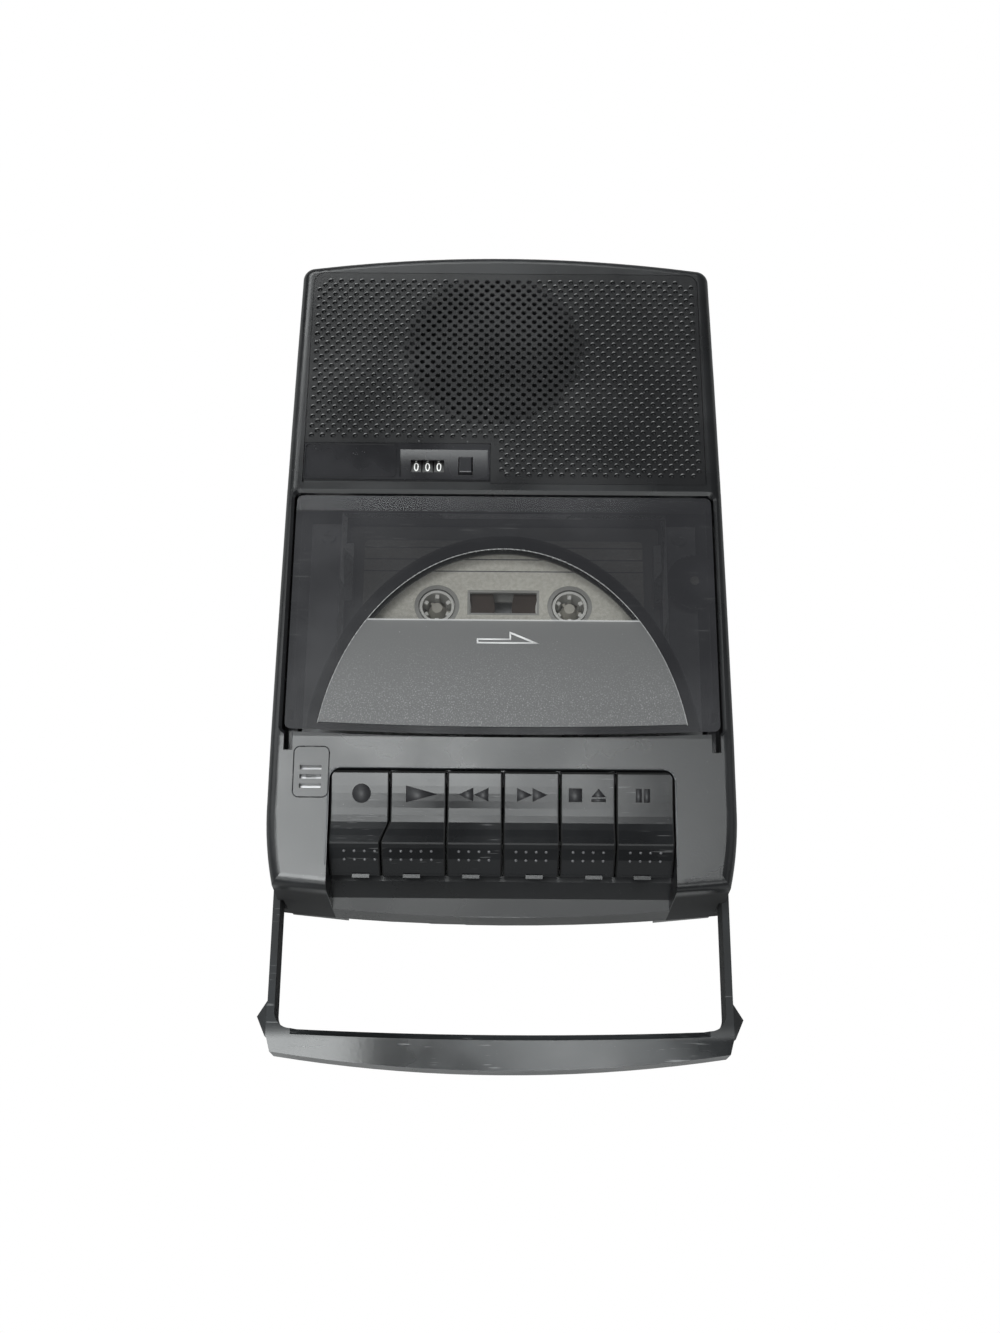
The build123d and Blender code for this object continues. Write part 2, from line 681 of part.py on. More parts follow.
with BuildPart() as counter_frame:
    block(frame_x, frame_y, (frame_z, frame_z + 1.4))
    block((frame_x[0], frame_x[0] + 1.2), frame_y, (frame_z, top_z))
    block((frame_x[1] - 1.2, frame_x[1]), frame_y, (frame_z, top_z))
    block((axle_end - 1.0, axle_end), (frame_y[0], wheel_y + 1.6), (frame_z, wheel_z + 1.6))
    block((worm_x - 3.0, worm_x + 3.0), (worm_y - 2.2, frame_y[1]), (30.0, frame_z + 1.4))
    rod(wheel_y, wheel_z, axle_radius, (frame_x[0], axle_end))
    post(worm_x, worm_y, 1.0 + running_gap, (25.0, 36.0), Mode.SUBTRACT)
    block((button_x[0] + 0.8, button_x[1] - 0.8), (button_y[0] + 1.2, button_y[1] - 1.2),
          (frame_z - 1, frame_z + 2), Mode.SUBTRACT)
    with BuildSketch(grille_plane.offset(-top_wall)):
        Rectangle(2 * case_half_width, 2 * case_half_width)
    extrude(amount=2 * beyond, mode=Mode.SUBTRACT)
save(counter_frame, "counter_frame")

for name, x in zip(("counter_units_wheel", "counter_tens_wheel", "counter_hundreds_wheel"), wheel_xs):
    with BuildPart() as wheel:
        rod(wheel_y, wheel_z, wheel_radius, (x - wheel_width / 2, x + wheel_width / 2))
        if name == "counter_units_wheel":
            gear_start = x + wheel_width / 2
            rod(wheel_y, wheel_z, gear_radius, (gear_start, gear_start + 2.6))
        rod(wheel_y, wheel_z, axle_radius + running_gap, (x - beyond, x + beyond), Mode.SUBTRACT)
    save(wheel, name)

with BuildPart() as counter_pulley:
    post(worm_x, worm_y, pulley_radius + 0.8, (26.6, 28.6))
    with BuildSketch(Plane.XY.offset(27.0)):
        with Locations((worm_x, worm_y)):
            Circle(pulley_radius + 1)
            Circle(pulley_radius, mode=Mode.SUBTRACT)
    extrude(amount=1.2, mode=Mode.SUBTRACT)
    post(worm_x, worm_y, 1.0, (28.6, wheel_z - 2.6))
    post(worm_x, worm_y, worm_radius, (wheel_z - 2.6, wheel_z + 2.4))
save(counter_pulley, "counter_pulley")

with BuildPart() as reset_button:
    tip_z = grille_height(button_y[0]) + 0.5
    block(button_x, button_y, (tip_z - 4.5, tip_z))
    fillet(reset_button.faces().sort_by(Axis.Z)[-1].edges(), 0.5)
    stem_y = (button_y[0] + 1.4, button_y[1] - 1.4)
    block((button_x[0] + 1.0, button_x[1] - 1.0), stem_y, (frame_z - 0.6, tip_z - 4.5))
save(reset_button, "reset_button")

speaker_plane = Plane(
    origin=grille_plane.from_local_coords((speaker_x, speaker_setback, -top_wall)),
    x_dir=(1, 0, 0),
    z_dir=grille_plane.z_dir,
)


def turned(name, points):
    """A piece turned about the speaker's axis from (radius, height) points."""
    with BuildPart() as piece:
        with BuildSketch(Plane(origin=speaker_plane.origin, x_dir=(1, 0, 0), z_dir=-speaker_plane.y_dir)):
            with BuildLine():
                Polyline(*points, close=True)
            make_face()
        revolve(axis=Axis(speaker_plane.origin, speaker_plane.z_dir))
    save(piece, name)


basket_bottom = -speaker_depth + 4.2
turned("speaker_basket", [
    (27.4, 0), (speaker_radius, 0), (speaker_radius, -1.2), (28.6, -1.2),
    (magnet_radius - 1.0, basket_bottom), (2.0, basket_bottom), (2.0, basket_bottom + 0.8),
    (magnet_radius - 1.4, basket_bottom + 0.8), (27.4, -0.8),
])
turned("speaker_cone", [
    (0, -4.4), (4.0, -4.9), (7.0, -6.0), (27.2, -0.7), (27.2, -0.2), (25.6, -0.2), (7.0, -5.2),
    (4.0, -4.2), (0, -3.6),
])
turned("speaker_magnet", [
    (0, basket_bottom), (magnet_radius, basket_bottom), (magnet_radius, -speaker_depth),
    (0, -speaker_depth),
])

# ---- lid, window and holder ---------------------------------------------------------------------
rail_inner = cassette_width / 2 + slide_gap
rail_outer = rail_inner + 1.8


def window_shape(level, grow):
    """The arched window, cut off along the lid's front edge."""
    with BuildSketch(Plane.XY.offset(level)) as shape:
        with Locations((0, lid_front_y - window_centre_ahead)):
            Ellipse(window_half_width + grow, window_height + grow)
        add(lid_outline(level, -window_strip + grow, 0), mode=Mode.INTERSECT)
    return shape.sketch


with BuildPart() as lid:
    loft([lid_outline(lid_under_z, 0, lid_undercut), lid_outline(top_z, 0, 0)])
    bevel_front = lid_rear_y - lid_bevel_depth
    side_shape(
        [(bevel_front, top_z), (lid_rear_y + 1, top_z - lid_bevel_drop), (lid_rear_y + 1, top_z + 1),
         (bevel_front, top_z + 1)],
        (-case_half_width, case_half_width), Mode.SUBTRACT)
    extrude(window_shape(top_z - window_thickness, fit_gap), amount=beyond, mode=Mode.SUBTRACT)
    with BuildSketch(Plane.XY.offset(lid_under_z - 1)) as sight:
        add(window_shape(lid_under_z - 1, -window_ledge))
        with Locations((0, lid_front_y + sight_setback + window_height / 2)):
            Rectangle(2 * window_half_width, window_height, mode=Mode.INTERSECT)
    extrude(sight.sketch, amount=beyond, mode=Mode.SUBTRACT)
    for side in (1, -1):
        skirt_x = sorted((side * (lid_half_width - lid_skirt_thickness), side * (lid_half_width - 0.1)))
        skirt_y = (lid_front_y + 9.0, lid_rear_y - 4.0)
        block(skirt_x, skirt_y, (lid_under_z - lid_skirt, lid_under_z))
        arm_x = (side * hinge_arm_half - hinge_arm_width / 2, side * hinge_arm_half + hinge_arm_width / 2)
        arm = [
            (hinge_y, hinge_z - hinge_boss_radius),
            (hinge_y + 13.0, hinge_z - hinge_boss_radius + 1.0),
            (hinge_y + 15.5, hinge_z + 1.5),
            (hinge_y + 15.5, lid_under_z),
            (hinge_y + 12.0, lid_under_z),
            (hinge_y + 12.0, hinge_z + 5.6),
            (hinge_y + 10.5, hinge_z + 3.4),
            (hinge_y, hinge_z + hinge_boss_radius),
        ]
        side_shape(arm, arm_x)
        rod(hinge_y, hinge_z, hinge_boss_radius, arm_x)
        rod(hinge_y, hinge_z, hinge_pin_radius + running_gap, arm_x, Mode.SUBTRACT)
        hook_x = (side * 30.0 - 3.0, side * 30.0 + 3.0)
        hook_y = lid_rear_y - 1.6
        side_shape(
            [(hook_y - 1.4, lid_under_z), (hook_y - 1.4, 38.0), (hook_y + 1.2, 40.4),
             (hook_y, 41.4), (hook_y, lid_under_z)],
            hook_x)
save(lid, "lid")

with BuildPart() as lid_window:
    extrude(window_shape(top_z - window_thickness, 0), amount=window_thickness)
save(lid_window, "lid_window")

with BuildPart() as lid_hinge_pins:
    for side in (1, -1):
        pin_end = ear_outer - 0.1
        pin_x = sorted((side * (hinge_arm_half - hinge_arm_width / 2), side * pin_end))
        rod(hinge_y, hinge_z, hinge_pin_radius, pin_x)
save(lid_hinge_pins, "lid_hinge_pins")

holder_front = cassette_front_y + 0.2
holder_rear = cassette_back_y + 0.3
with BuildPart() as cassette_holder:
    for side in (1, -1):
        rail_x = sorted((side * rail_inner, side * rail_outer))
        block(rail_x, (holder_front, holder_rear + 1.8), (cassette_base_z - 1.3, lid_under_z))
        ledge_x = sorted((side * (rail_inner - 2.4), side * rail_outer))
        block(ledge_x, (holder_front + 2.0, holder_rear + 1.8),
              (cassette_base_z - 1.3, cassette_base_z - 0.1))
        block(ledge_x, (6.0, 26.0), (cassette_top_z + 0.1, lid_under_z))
    block((-rail_outer, rail_outer), (holder_rear, holder_rear + 1.8),
          (cassette_base_z + 2.0, lid_under_z))
save(cassette_holder, "cassette_holder")

# ---- cassette ------------------------------------------------------------------------------------
cassette_middle_y = (cassette_front_y + cassette_back_y) / 2
cassette_split_z = (cassette_base_z + cassette_top_z) / 2
hub_xs = (-hub_spacing / 2, hub_spacing / 2)
hub_hole_radius = 5.9
collar_radius = 5.5
hub_radius = 10.9
hub_bore = 4.7
tooth_tip = 3.4
cavity = (cassette_base_z + cassette_wall, cassette_top_z - cassette_wall)
cassette_mouths = ((0, 8.5), (-14.0, 4.0), (14.0, 4.0), (-capstan_x, 7.5), (capstan_x, 7.5))
window_x = 10.7
window_y = (reel_y - 2.3, reel_y + 4.8)


def shell_half(low, high, thick_low, thick_high):
    """One moulded half of the cassette, hollow, with its holes and front mouths."""
    with BuildPart() as half:
        with BuildSketch(Plane.XY.offset(low)):
            with Locations((0, cassette_middle_y)):
                RectangleRounded(cassette_width, cassette_depth, 2.0)
        extrude(amount=high - low)
        with BuildSketch(Plane.XY.offset(thick_low)):
            with BuildLine():
                Polyline(
                    (-38.0, cassette_front_y),
                    (38.0, cassette_front_y),
                    (34.0, cassette_front_y + cassette_thick_depth),
                    (-34.0, cassette_front_y + cassette_thick_depth),
                    close=True,
                )
            make_face()
        extrude(amount=thick_high - thick_low)
        side = cassette_width / 2 - cassette_wall
        block((-side, side), (cassette_front_y + cassette_wall, cassette_back_y - cassette_wall), cavity,
              Mode.SUBTRACT)
        mouth_z = (thick_base_z + cassette_wall, thick_top_z - cassette_wall)
        block((-36.0, 36.0),
              (cassette_front_y + cassette_wall, cassette_front_y + cassette_thick_depth - 1.5),
              mouth_z, Mode.SUBTRACT)
        mouth_y = (cassette_front_y - 1, cassette_front_y + 2)
        for mouth_x, mouth_half in cassette_mouths:
            block((mouth_x - mouth_half, mouth_x + mouth_half), mouth_y, mouth_z, Mode.SUBTRACT)
        for x in hub_xs:
            post(x, reel_y, hub_hole_radius, (0, top_z), Mode.SUBTRACT)
        for x in (-capstan_x, capstan_x):
            post(x, capstan_y, 2.75, (0, top_z), Mode.SUBTRACT)
        block((-window_x, window_x), window_y, (0, top_z), Mode.SUBTRACT)
    return half


cassette_lower_shell = shell_half(cassette_base_z, cassette_split_z, thick_base_z, cassette_split_z)
save(cassette_lower_shell, "cassette_lower_shell")
cassette_upper_shell = shell_half(cassette_split_z, cassette_top_z, cassette_split_z, thick_top_z)
save(cassette_upper_shell, "cassette_upper_shell")

with BuildPart() as cassette_label:
    with BuildSketch(Plane.XY.offset(cassette_top_z)):
        with Locations((0, cassette_middle_y + 6.0)):
            RectangleRounded(90.0, 42.0, 1.5)
        with Locations(*[(x, reel_y) for x in hub_xs]):
            Circle(7.2, mode=Mode.SUBTRACT)
        with Locations((0, reel_y + 1.25)):
            Rectangle(23.0, 8.6, mode=Mode.SUBTRACT)
    extrude(amount=label_thickness)
    block((-38.5, 38.5), (cassette_front_y, cassette_front_y + cassette_thick_depth + 0.3),
          (cassette_top_z - 1, top_z), Mode.SUBTRACT)
save(cassette_label, "cassette_label")

pack_z = cassette_split_z - pack_height / 2
for name, x in (("supply", hub_xs[0]), ("take_up", hub_xs[1])):
    with BuildPart() as hub:
        post(x, reel_y, hub_radius, (pack_z - 0.2, pack_z + pack_height + 0.2))
        post(x, reel_y, collar_radius, (cassette_base_z + 0.3, cassette_top_z - 0.3))
        post(x, reel_y, hub_bore, (cassette_base_z, cassette_top_z), Mode.SUBTRACT)
        with BuildSketch(Plane.XY.offset(cassette_base_z + 1.9)):
            with Locations((x, reel_y)):
                with PolarLocations((hub_bore + 0.4 + tooth_tip) / 2, 6, start_angle=30):
                    Rectangle(hub_bore + 0.4 - tooth_tip, 1.2)
        extrude(amount=cassette_thickness - 3.8)
    save(hub, f"{name}_hub")
    with BuildPart() as pack:
        post(x, reel_y, pack_radius, (pack_z, pack_z + pack_height))
        post(x, reel_y, hub_radius, (pack_z - 1, pack_z + pack_height + 1), Mode.SUBTRACT)
    save(pack, f"{name}_tape")

# ---- chassis and drive ------------------------------------------------------------------------------
key_shaft_y = well_rear_y + 4.7
key_shaft_z = 31.0
key_ear_x = key_well_half + 2.2
key_ear_thickness = 1.4
key_ear_depth = 4.0
pinch_pivot_x = capstan_x + 15.7
roller_engaged_y = capstan_y - capstan_radius - roller_radius - 0.1
pinch_pivot_y = roller_engaged_y - 2.25
roller_rest_y = roller_engaged_y - 4.5
roller_z = 32.0
pin_radius = 1.2

with BuildPart() as chassis:
    plate_y = (key_shaft_y - key_ear_depth, lid_rear_y - 0.3)
    block((-chassis_half_width, chassis_half_width), plate_y, (chassis_z, chassis_top_z))
    for side in (1, -1):
        ear_x = sorted((side * key_ear_x, side * (key_ear_x + key_ear_thickness)))
        ear_y = (key_shaft_y - key_ear_depth, key_shaft_y + key_ear_depth)
        block(ear_x, ear_y, (chassis_z, key_shaft_z + 3.5))
        rod(key_shaft_y, key_shaft_z, key_shaft_radius, ear_x, Mode.SUBTRACT)
    for x in hub_xs:
        post(x, reel_y, pin_radius, (chassis_top_z, 35.5))
    post(pinch_pivot_x, pinch_pivot_y, 1.5, (chassis_top_z, 31.2))
    post(capstan_x, capstan_y, 3.0, all_through, Mode.SUBTRACT)
    for x, y in chassis_posts:
        post(x, y, 1.2, all_through, Mode.SUBTRACT)
    for hole_y in (-20.0, 24.0):
        post(0, hole_y, 4.0, all_through, Mode.SUBTRACT)
save(chassis, "chassis")

chassis_head_radius = 2.4
chassis_head_height = 1.6
chassis_thread_radius = 1.1
chassis_screw_end_z = 14.0
recess_length = 3.0
recess_width = 0.6

with BuildPart() as chassis_screws:
    for x, y in chassis_posts:
        post(x, y, chassis_head_radius, (chassis_top_z, chassis_top_z + chassis_head_height))
        post(x, y, chassis_thread_radius, (chassis_screw_end_z, chassis_top_z))
        with Locations((x, y, chassis_top_z + chassis_head_height)):
            Box(recess_length, recess_width, chassis_head_height, mode=Mode.SUBTRACT)
            Box(recess_width, recess_length, chassis_head_height, mode=Mode.SUBTRACT)
save(chassis_screws, "chassis_screws")

with BuildPart() as motor:
    post(motor_x, motor_y, motor_radius, (floor_z, floor_z + motor_height))
    fillet(motor.faces().sort_by(Axis.Z)[-1].edges(), 1.5)
    post(motor_x, motor_y, 4.0, (floor_z + motor_height, floor_z + motor_height + 0.8))
    post(motor_x, motor_y, 1.0, (floor_z + motor_height, flywheel_z + flywheel_thickness))
save(motor, "motor")

with BuildPart() as motor_pulley:
    post(motor_x, motor_y, motor_pulley_radius + 1.0, (flywheel_z + 0.2, flywheel_z + 4.8))
    with BuildSketch(Plane.XY.offset(flywheel_z + 0.8)):
        with Locations((motor_x, motor_y)):
            Circle(motor_pulley_radius + 2)
            Circle(motor_pulley_radius, mode=Mode.SUBTRACT)
    extrude(amount=3.4, mode=Mode.SUBTRACT)
    post(motor_x, motor_y, 1.0 + running_gap, (flywheel_z, flywheel_z + flywheel_thickness),
         Mode.SUBTRACT)
save(motor_pulley, "motor_pulley")

with BuildPart() as capstan:
    post(capstan_x, capstan_y, capstan_radius, (flywheel_z - 0.5, 41.0))
save(capstan, "capstan")

with BuildPart() as flywheel:
    post(capstan_x, capstan_y, flywheel_radius, (flywheel_z, flywheel_z + flywheel_thickness))
    chamfer(flywheel.edges(), 0.5)
    post(capstan_x, capstan_y, capstan_radius, all_through, Mode.SUBTRACT)
save(flywheel, "flywheel")

with BuildPart() as capstan_bearing:
    post(capstan_x, capstan_y, 3.0, (chassis_z, chassis_top_z))
    post(capstan_x, capstan_y, 3.8, (chassis_top_z, chassis_top_z + 1.4))
    post(capstan_x, capstan_y, capstan_radius + running_gap, all_through, Mode.SUBTRACT)
save(capstan_bearing, "capstan_bearing")


def belt(name, ends, thickness, low, height):
    """A flat belt round two pulleys given as (x, y, radius)."""
    with BuildPart() as loop:
        for grow, mode in ((thickness, Mode.ADD), (0, Mode.SUBTRACT)):
            with BuildSketch(Plane.XY.offset(low)) as run:
                for x, y, radius in ends:
                    with Locations((x, y)):
                        Circle(radius + running_gap + grow)
                make_hull()
            extrude(run.sketch, amount=height, mode=mode)
    save(loop, name)


belt(
    "drive_belt",
    ((capstan_x, capstan_y, flywheel_radius), (motor_x, motor_y, motor_pulley_radius)),
    drive_belt_thickness, flywheel_z + 1.0, 3.0,
)
belt(
    "counter_belt",
    ((hub_xs[0], reel_y, spindle_groove), (worm_x, worm_y, pulley_radius)),
    counter_belt_thickness, 27.1, 1.0,
)

for name, x in (("supply_spindle", hub_xs[0]), ("take_up_spindle", hub_xs[1])):
    with BuildPart() as spindle:
        post(x, reel_y, spindle_groove + 1.0, (26.5, 28.5))
        if x == hub_xs[0]:
            with BuildSketch(Plane.XY.offset(26.9)):
                with Locations((x, reel_y)):
                    Circle(spindle_groove + 2)
                    Circle(spindle_groove, mode=Mode.SUBTRACT)
            extrude(amount=1.3, mode=Mode.SUBTRACT)
        post(x, reel_y, 12.0, (28.5, 29.3))
        post(x, reel_y, 2.9, (29.3, 34.5))
        with Locations((x, reel_y, 36.5)):
            Cone(2.9, 1.7, 4.0)
        with BuildSketch(Plane.XY.offset(29.3)):
            with Locations((x, reel_y)):
                with PolarLocations(3.1, 3):
                    Rectangle(1.6, 1.0)
        extrude(amount=5.2)
        post(x, reel_y, pin_radius + running_gap, (0, 36.0), Mode.SUBTRACT)
    save(spindle, name)

# ---- heads and pinch roller -----------------------------------------------------------------------
head_front_y = cassette_front_y - 1.4
riser_front_y = head_front_y + 1.0 - head_travel  # clear of the cassette when the heads are in
head_plate_z = (chassis_top_z + 0.15, chassis_top_z + 1.35)
with BuildPart() as head_plate:
    block((-19.0, 19.0), (head_front_y - 11.0, head_front_y + 2.0), head_plate_z)
    block((-6.5, 6.5), (head_front_y - 9.0, riser_front_y), (head_plate_z[1], 31.4))
    block((-17.0, -11.0), (head_front_y - 7.0, riser_front_y), (head_plate_z[1], 31.8))
save(head_plate, "head_plate")

with BuildPart() as record_play_head:
    block((-6.0, 6.0), (head_front_y - 8.5, head_front_y), (31.4, 40.0))
    fillet(record_play_head.faces().sort_by(Axis.Y)[-1].edges().filter_by(Axis.Z), 2.5)
save(record_play_head, "record_play_head")

with BuildPart() as erase_head:
    block((-16.5, -11.5), (head_front_y - 6.0, head_front_y), (31.8, 39.5))
    fillet(erase_head.faces().sort_by(Axis.Y)[-1].edges().filter_by(Axis.Z), 1.5)
save(erase_head, "erase_head")

with BuildPart() as pinch_arm:
    with BuildSketch(Plane.XY.offset(28.0)) as arm_plan:
        with Locations((pinch_pivot_x, pinch_pivot_y)):
            Circle(3.4)
        with Locations((capstan_x, roller_rest_y)):
            Circle(2.4)
        make_hull()
    extrude(arm_plan.sketch, amount=1.3)
    post(capstan_x, roller_rest_y, 1.0, (28.0, roller_z + roller_height + 0.6))
    post(pinch_pivot_x, pinch_pivot_y, 1.5 + running_gap, all_through, Mode.SUBTRACT)
save(pinch_arm, "pinch_arm")

with BuildPart() as pinch_roller:
    post(capstan_x, roller_rest_y, roller_radius, (roller_z, roller_z + roller_height))
    chamfer(pinch_roller.edges(), 0.4)
    post(capstan_x, roller_rest_y, 1.8, (29.5, roller_z))
    post(capstan_x, roller_rest_y, 1.0 + running_gap, (0, 45), Mode.SUBTRACT)
save(pinch_roller, "pinch_roller")

# ---- keys --------------------------------------------------------------------------------------------
key_edges = (-key_well_half, -34.1, -16.8, 0.3, 17.6, 34.6, key_well_half)
key_names = ("record_key", "play_key", "rewind_key", "fast_forward_key", "stop_eject_key", "pause_key")
key_rear_y = well_rear_y - 0.5
key_rear_z = 46.2
curve_steps = 10
slant_ys = (key_rear_y - 14.8, key_rear_y - 21.8)
lever_xs = (-42.9, -27.4, -9.3, 10.0, 28.2, 43.0)
lever_tip_y = key_rear_y - 30.4
lever_tip_z = 33.0
ridge_y = key_rear_y - 21.8


def key_curve(y):
    """Height of a key's top at y, hollow between its rear edge and its ridge."""
    share = (key_rear_y - y) / (key_rear_y - ridge_y)
    return key_rear_z - 7.4 * share + 5.3 * share**2.6


curve_ys = [key_rear_y - step * (key_rear_y - ridge_y) / curve_steps for step in range(curve_steps + 1)]
cap = [(y, key_curve(y)) for y in curve_ys]
cap += [
    (ridge_y - 0.5, key_curve(ridge_y) - 0.3),
    (ridge_y - 1.4, 42.6),
    (ridge_y - 4.0, 39.4),
    (ridge_y - 7.2, 34.8),
    (ridge_y - 7.8, 33.5),
    (ridge_y - 5.6, 32.6),
    (ridge_y - 2.2, 38.0),
    (ridge_y, key_curve(ridge_y) - 3.0),
]
cap += [(y, key_curve(y) - 3.0) for y in reversed(curve_ys[:-1])]
lever = [
    (key_shaft_y, key_shaft_z - key_hub_radius),
    (key_rear_y - 8.0, 31.5),
    (lever_tip_y + 6.0, lever_tip_z - 0.4),
    (lever_tip_y, lever_tip_z),
    (lever_tip_y, lever_tip_z + 1.1),
    (key_rear_y - 26.0, 34.4),
    (key_rear_y - 10.0, 36.0),
    (key_rear_y - 10.0, 41.0),
    (key_rear_y - 6.0, 41.8),
    (key_shaft_y, key_shaft_z + key_hub_radius),
]

with BuildPart() as well_clearance:
    with BuildSketch(Plane.XY.offset(base_z)) as well_plan:
        with Locations((0, (well_front_y + well_rear_y) / 2 - key_gap / 2)):
            Rectangle(2 * key_well_half - key_gap, key_well_length + key_gap)
        fillet(well_plan.vertices().group_by(Axis.Y)[-1], key_well_radius)
    extrude(well_plan.sketch, amount=top_z)


def divider_strip(shift):
    """Upright prism between the slanted front of the first divider and its straight line."""
    edge = key_edges[1] + shift
    front = well_front_y - beyond
    with BuildPart() as strip:
        with BuildSketch(Plane.XY.offset(base_z)) as plan:
            with BuildLine():
                Polyline((edge, slant_ys[0]), (edge - divider_slant, slant_ys[1]),
                         (edge - divider_slant, front), (edge + 1.0, front), (edge + 1.0, slant_ys[0]),
                         close=True)
            make_face()
        extrude(plan.sketch, amount=top_z)
    return strip.part


for name, low, high, middle in zip(key_names, key_edges[:-1], key_edges[1:], lever_xs):
    key_x = (low + key_gap / 2, high - key_gap / 2)
    with BuildPart() as key:
        side_shape(cap, key_x)
        add(well_clearance.part, mode=Mode.INTERSECT)
        skirt = [(ridge_y, 41.2), (key_rear_y - 11.0, 41.0), (key_rear_y - 2.0, 43.6),
                 (key_rear_y - 2.0, 38.0), (key_rear_y - 20.0, 36.0)]
        side_shape(skirt, (key_x[0], key_x[0] + 1.0))
        side_shape(skirt, (key_x[1] - 1.0, key_x[1]))
        side_shape(lever, (middle - lever_width / 2, middle + lever_width / 2))
        rod(key_shaft_y, key_shaft_z, key_hub_radius, (middle - 2.6, middle + 2.6))
        rod(key_shaft_y, key_shaft_z, key_shaft_radius + running_gap,
            (middle - beyond, middle + beyond), Mode.SUBTRACT)
        if name == "record_key":
            add(divider_strip(-key_gap / 2), mode=Mode.SUBTRACT)
        if name == "play_key":
            wider = side_shape(cap, (key_x[0] - divider_slant, key_x[0] + 1.0), apart)
            add(wider & divider_strip(key_gap / 2))
    save(key, name)

with BuildPart() as key_shaft:
    rod(key_shaft_y, key_shaft_z, key_shaft_radius, (-key_ear_x - 2.2, key_ear_x + 2.2))
save(key_shaft, "key_shaft")

# ---- board, jacks, volume control and microphone ----------------------------------------------------
with BuildPart() as circuit_board:
    block(board_x, board_y, (board_z, board_z + board_thickness))
    post(capstan_x, capstan_y, thrust_radius + 1.0, all_through, Mode.SUBTRACT)
    for x, y in chassis_posts:
        post(x, y, post_radius + 0.5, all_through, Mode.SUBTRACT)
    board_top = board_z + board_thickness
    for x, y, radius, height in ((12, 8, 4, 11), (22, 10, 3, 8), (30, 24, 4, 12), (50, 26, 3, 9),
                                 (52, 12, 2.5, 8), (44, 30, 2.5, 7)):
        post(x, y, radius, (board_top, board_top + height))
    for x, y, wide, deep, height in ((40, 8, 20, 6.5, 3.5), (14, 26, 10, 10, 9), (52, -30, 6, 12, 4)):
        block((x - wide / 2, x + wide / 2), (y - deep / 2, y + deep / 2), (board_top, board_top + height))
save(circuit_board, "circuit_board")

jack_body_outer_x = jack_inset - case_half_width
jack_body_x = (jack_body_outer_x, jack_body_outer_x + jack_body_length)
jack_bore_x = (-case_half_width, jack_body_outer_x + jack_bore_length)
for name, jack_y in jack_places.items():
    bore = power_bore_radius if name == "dc_jack" else plug_bore_radius
    with BuildPart() as jack:
        block(jack_body_x, (jack_y - jack_body_half, jack_y + jack_body_half),
              (jack_z - jack_body_half, jack_z + jack_body_half))
        rod(jack_y, jack_z, jack_radius, (1.1 - case_half_width, jack_body_x[0]))
        rod(jack_y, jack_z, bore, jack_bore_x, Mode.SUBTRACT)
        if name == "dc_jack":
            rod(jack_y, jack_z, power_pin_radius, (2.5 - case_half_width, jack_bore_x[1]))
    save(jack, name)

with BuildPart() as volume_control:
    post(volume_x, volume_y, volume_body_radius, (chassis_top_z, volume_z - volume_seat))
    post(volume_x, volume_y, volume_spindle_radius,
         (volume_z - volume_seat, volume_z + volume_thickness))
save(volume_control, "volume_control")

with BuildPart() as volume_wheel:
    with BuildSketch(Plane.XY.offset(volume_z)):
        with Locations((volume_x, volume_y)):
            Circle(volume_radius)
            with PolarLocations(volume_radius, 36):
                Circle(knurl_radius, mode=Mode.SUBTRACT)
            Circle(volume_spindle_radius + running_gap, mode=Mode.SUBTRACT)
    extrude(amount=volume_thickness)
save(volume_wheel, "volume_wheel")

with BuildPart() as microphone_capsule:
    post(mic_x, mic_y, mic_radius, (mic_top_z - mic_length, mic_top_z))
    post(mic_x, mic_y, mic_port_radius, (mic_top_z - 0.5, mic_top_z + 0.7), Mode.SUBTRACT)
save(microphone_capsule, "microphone_capsule")

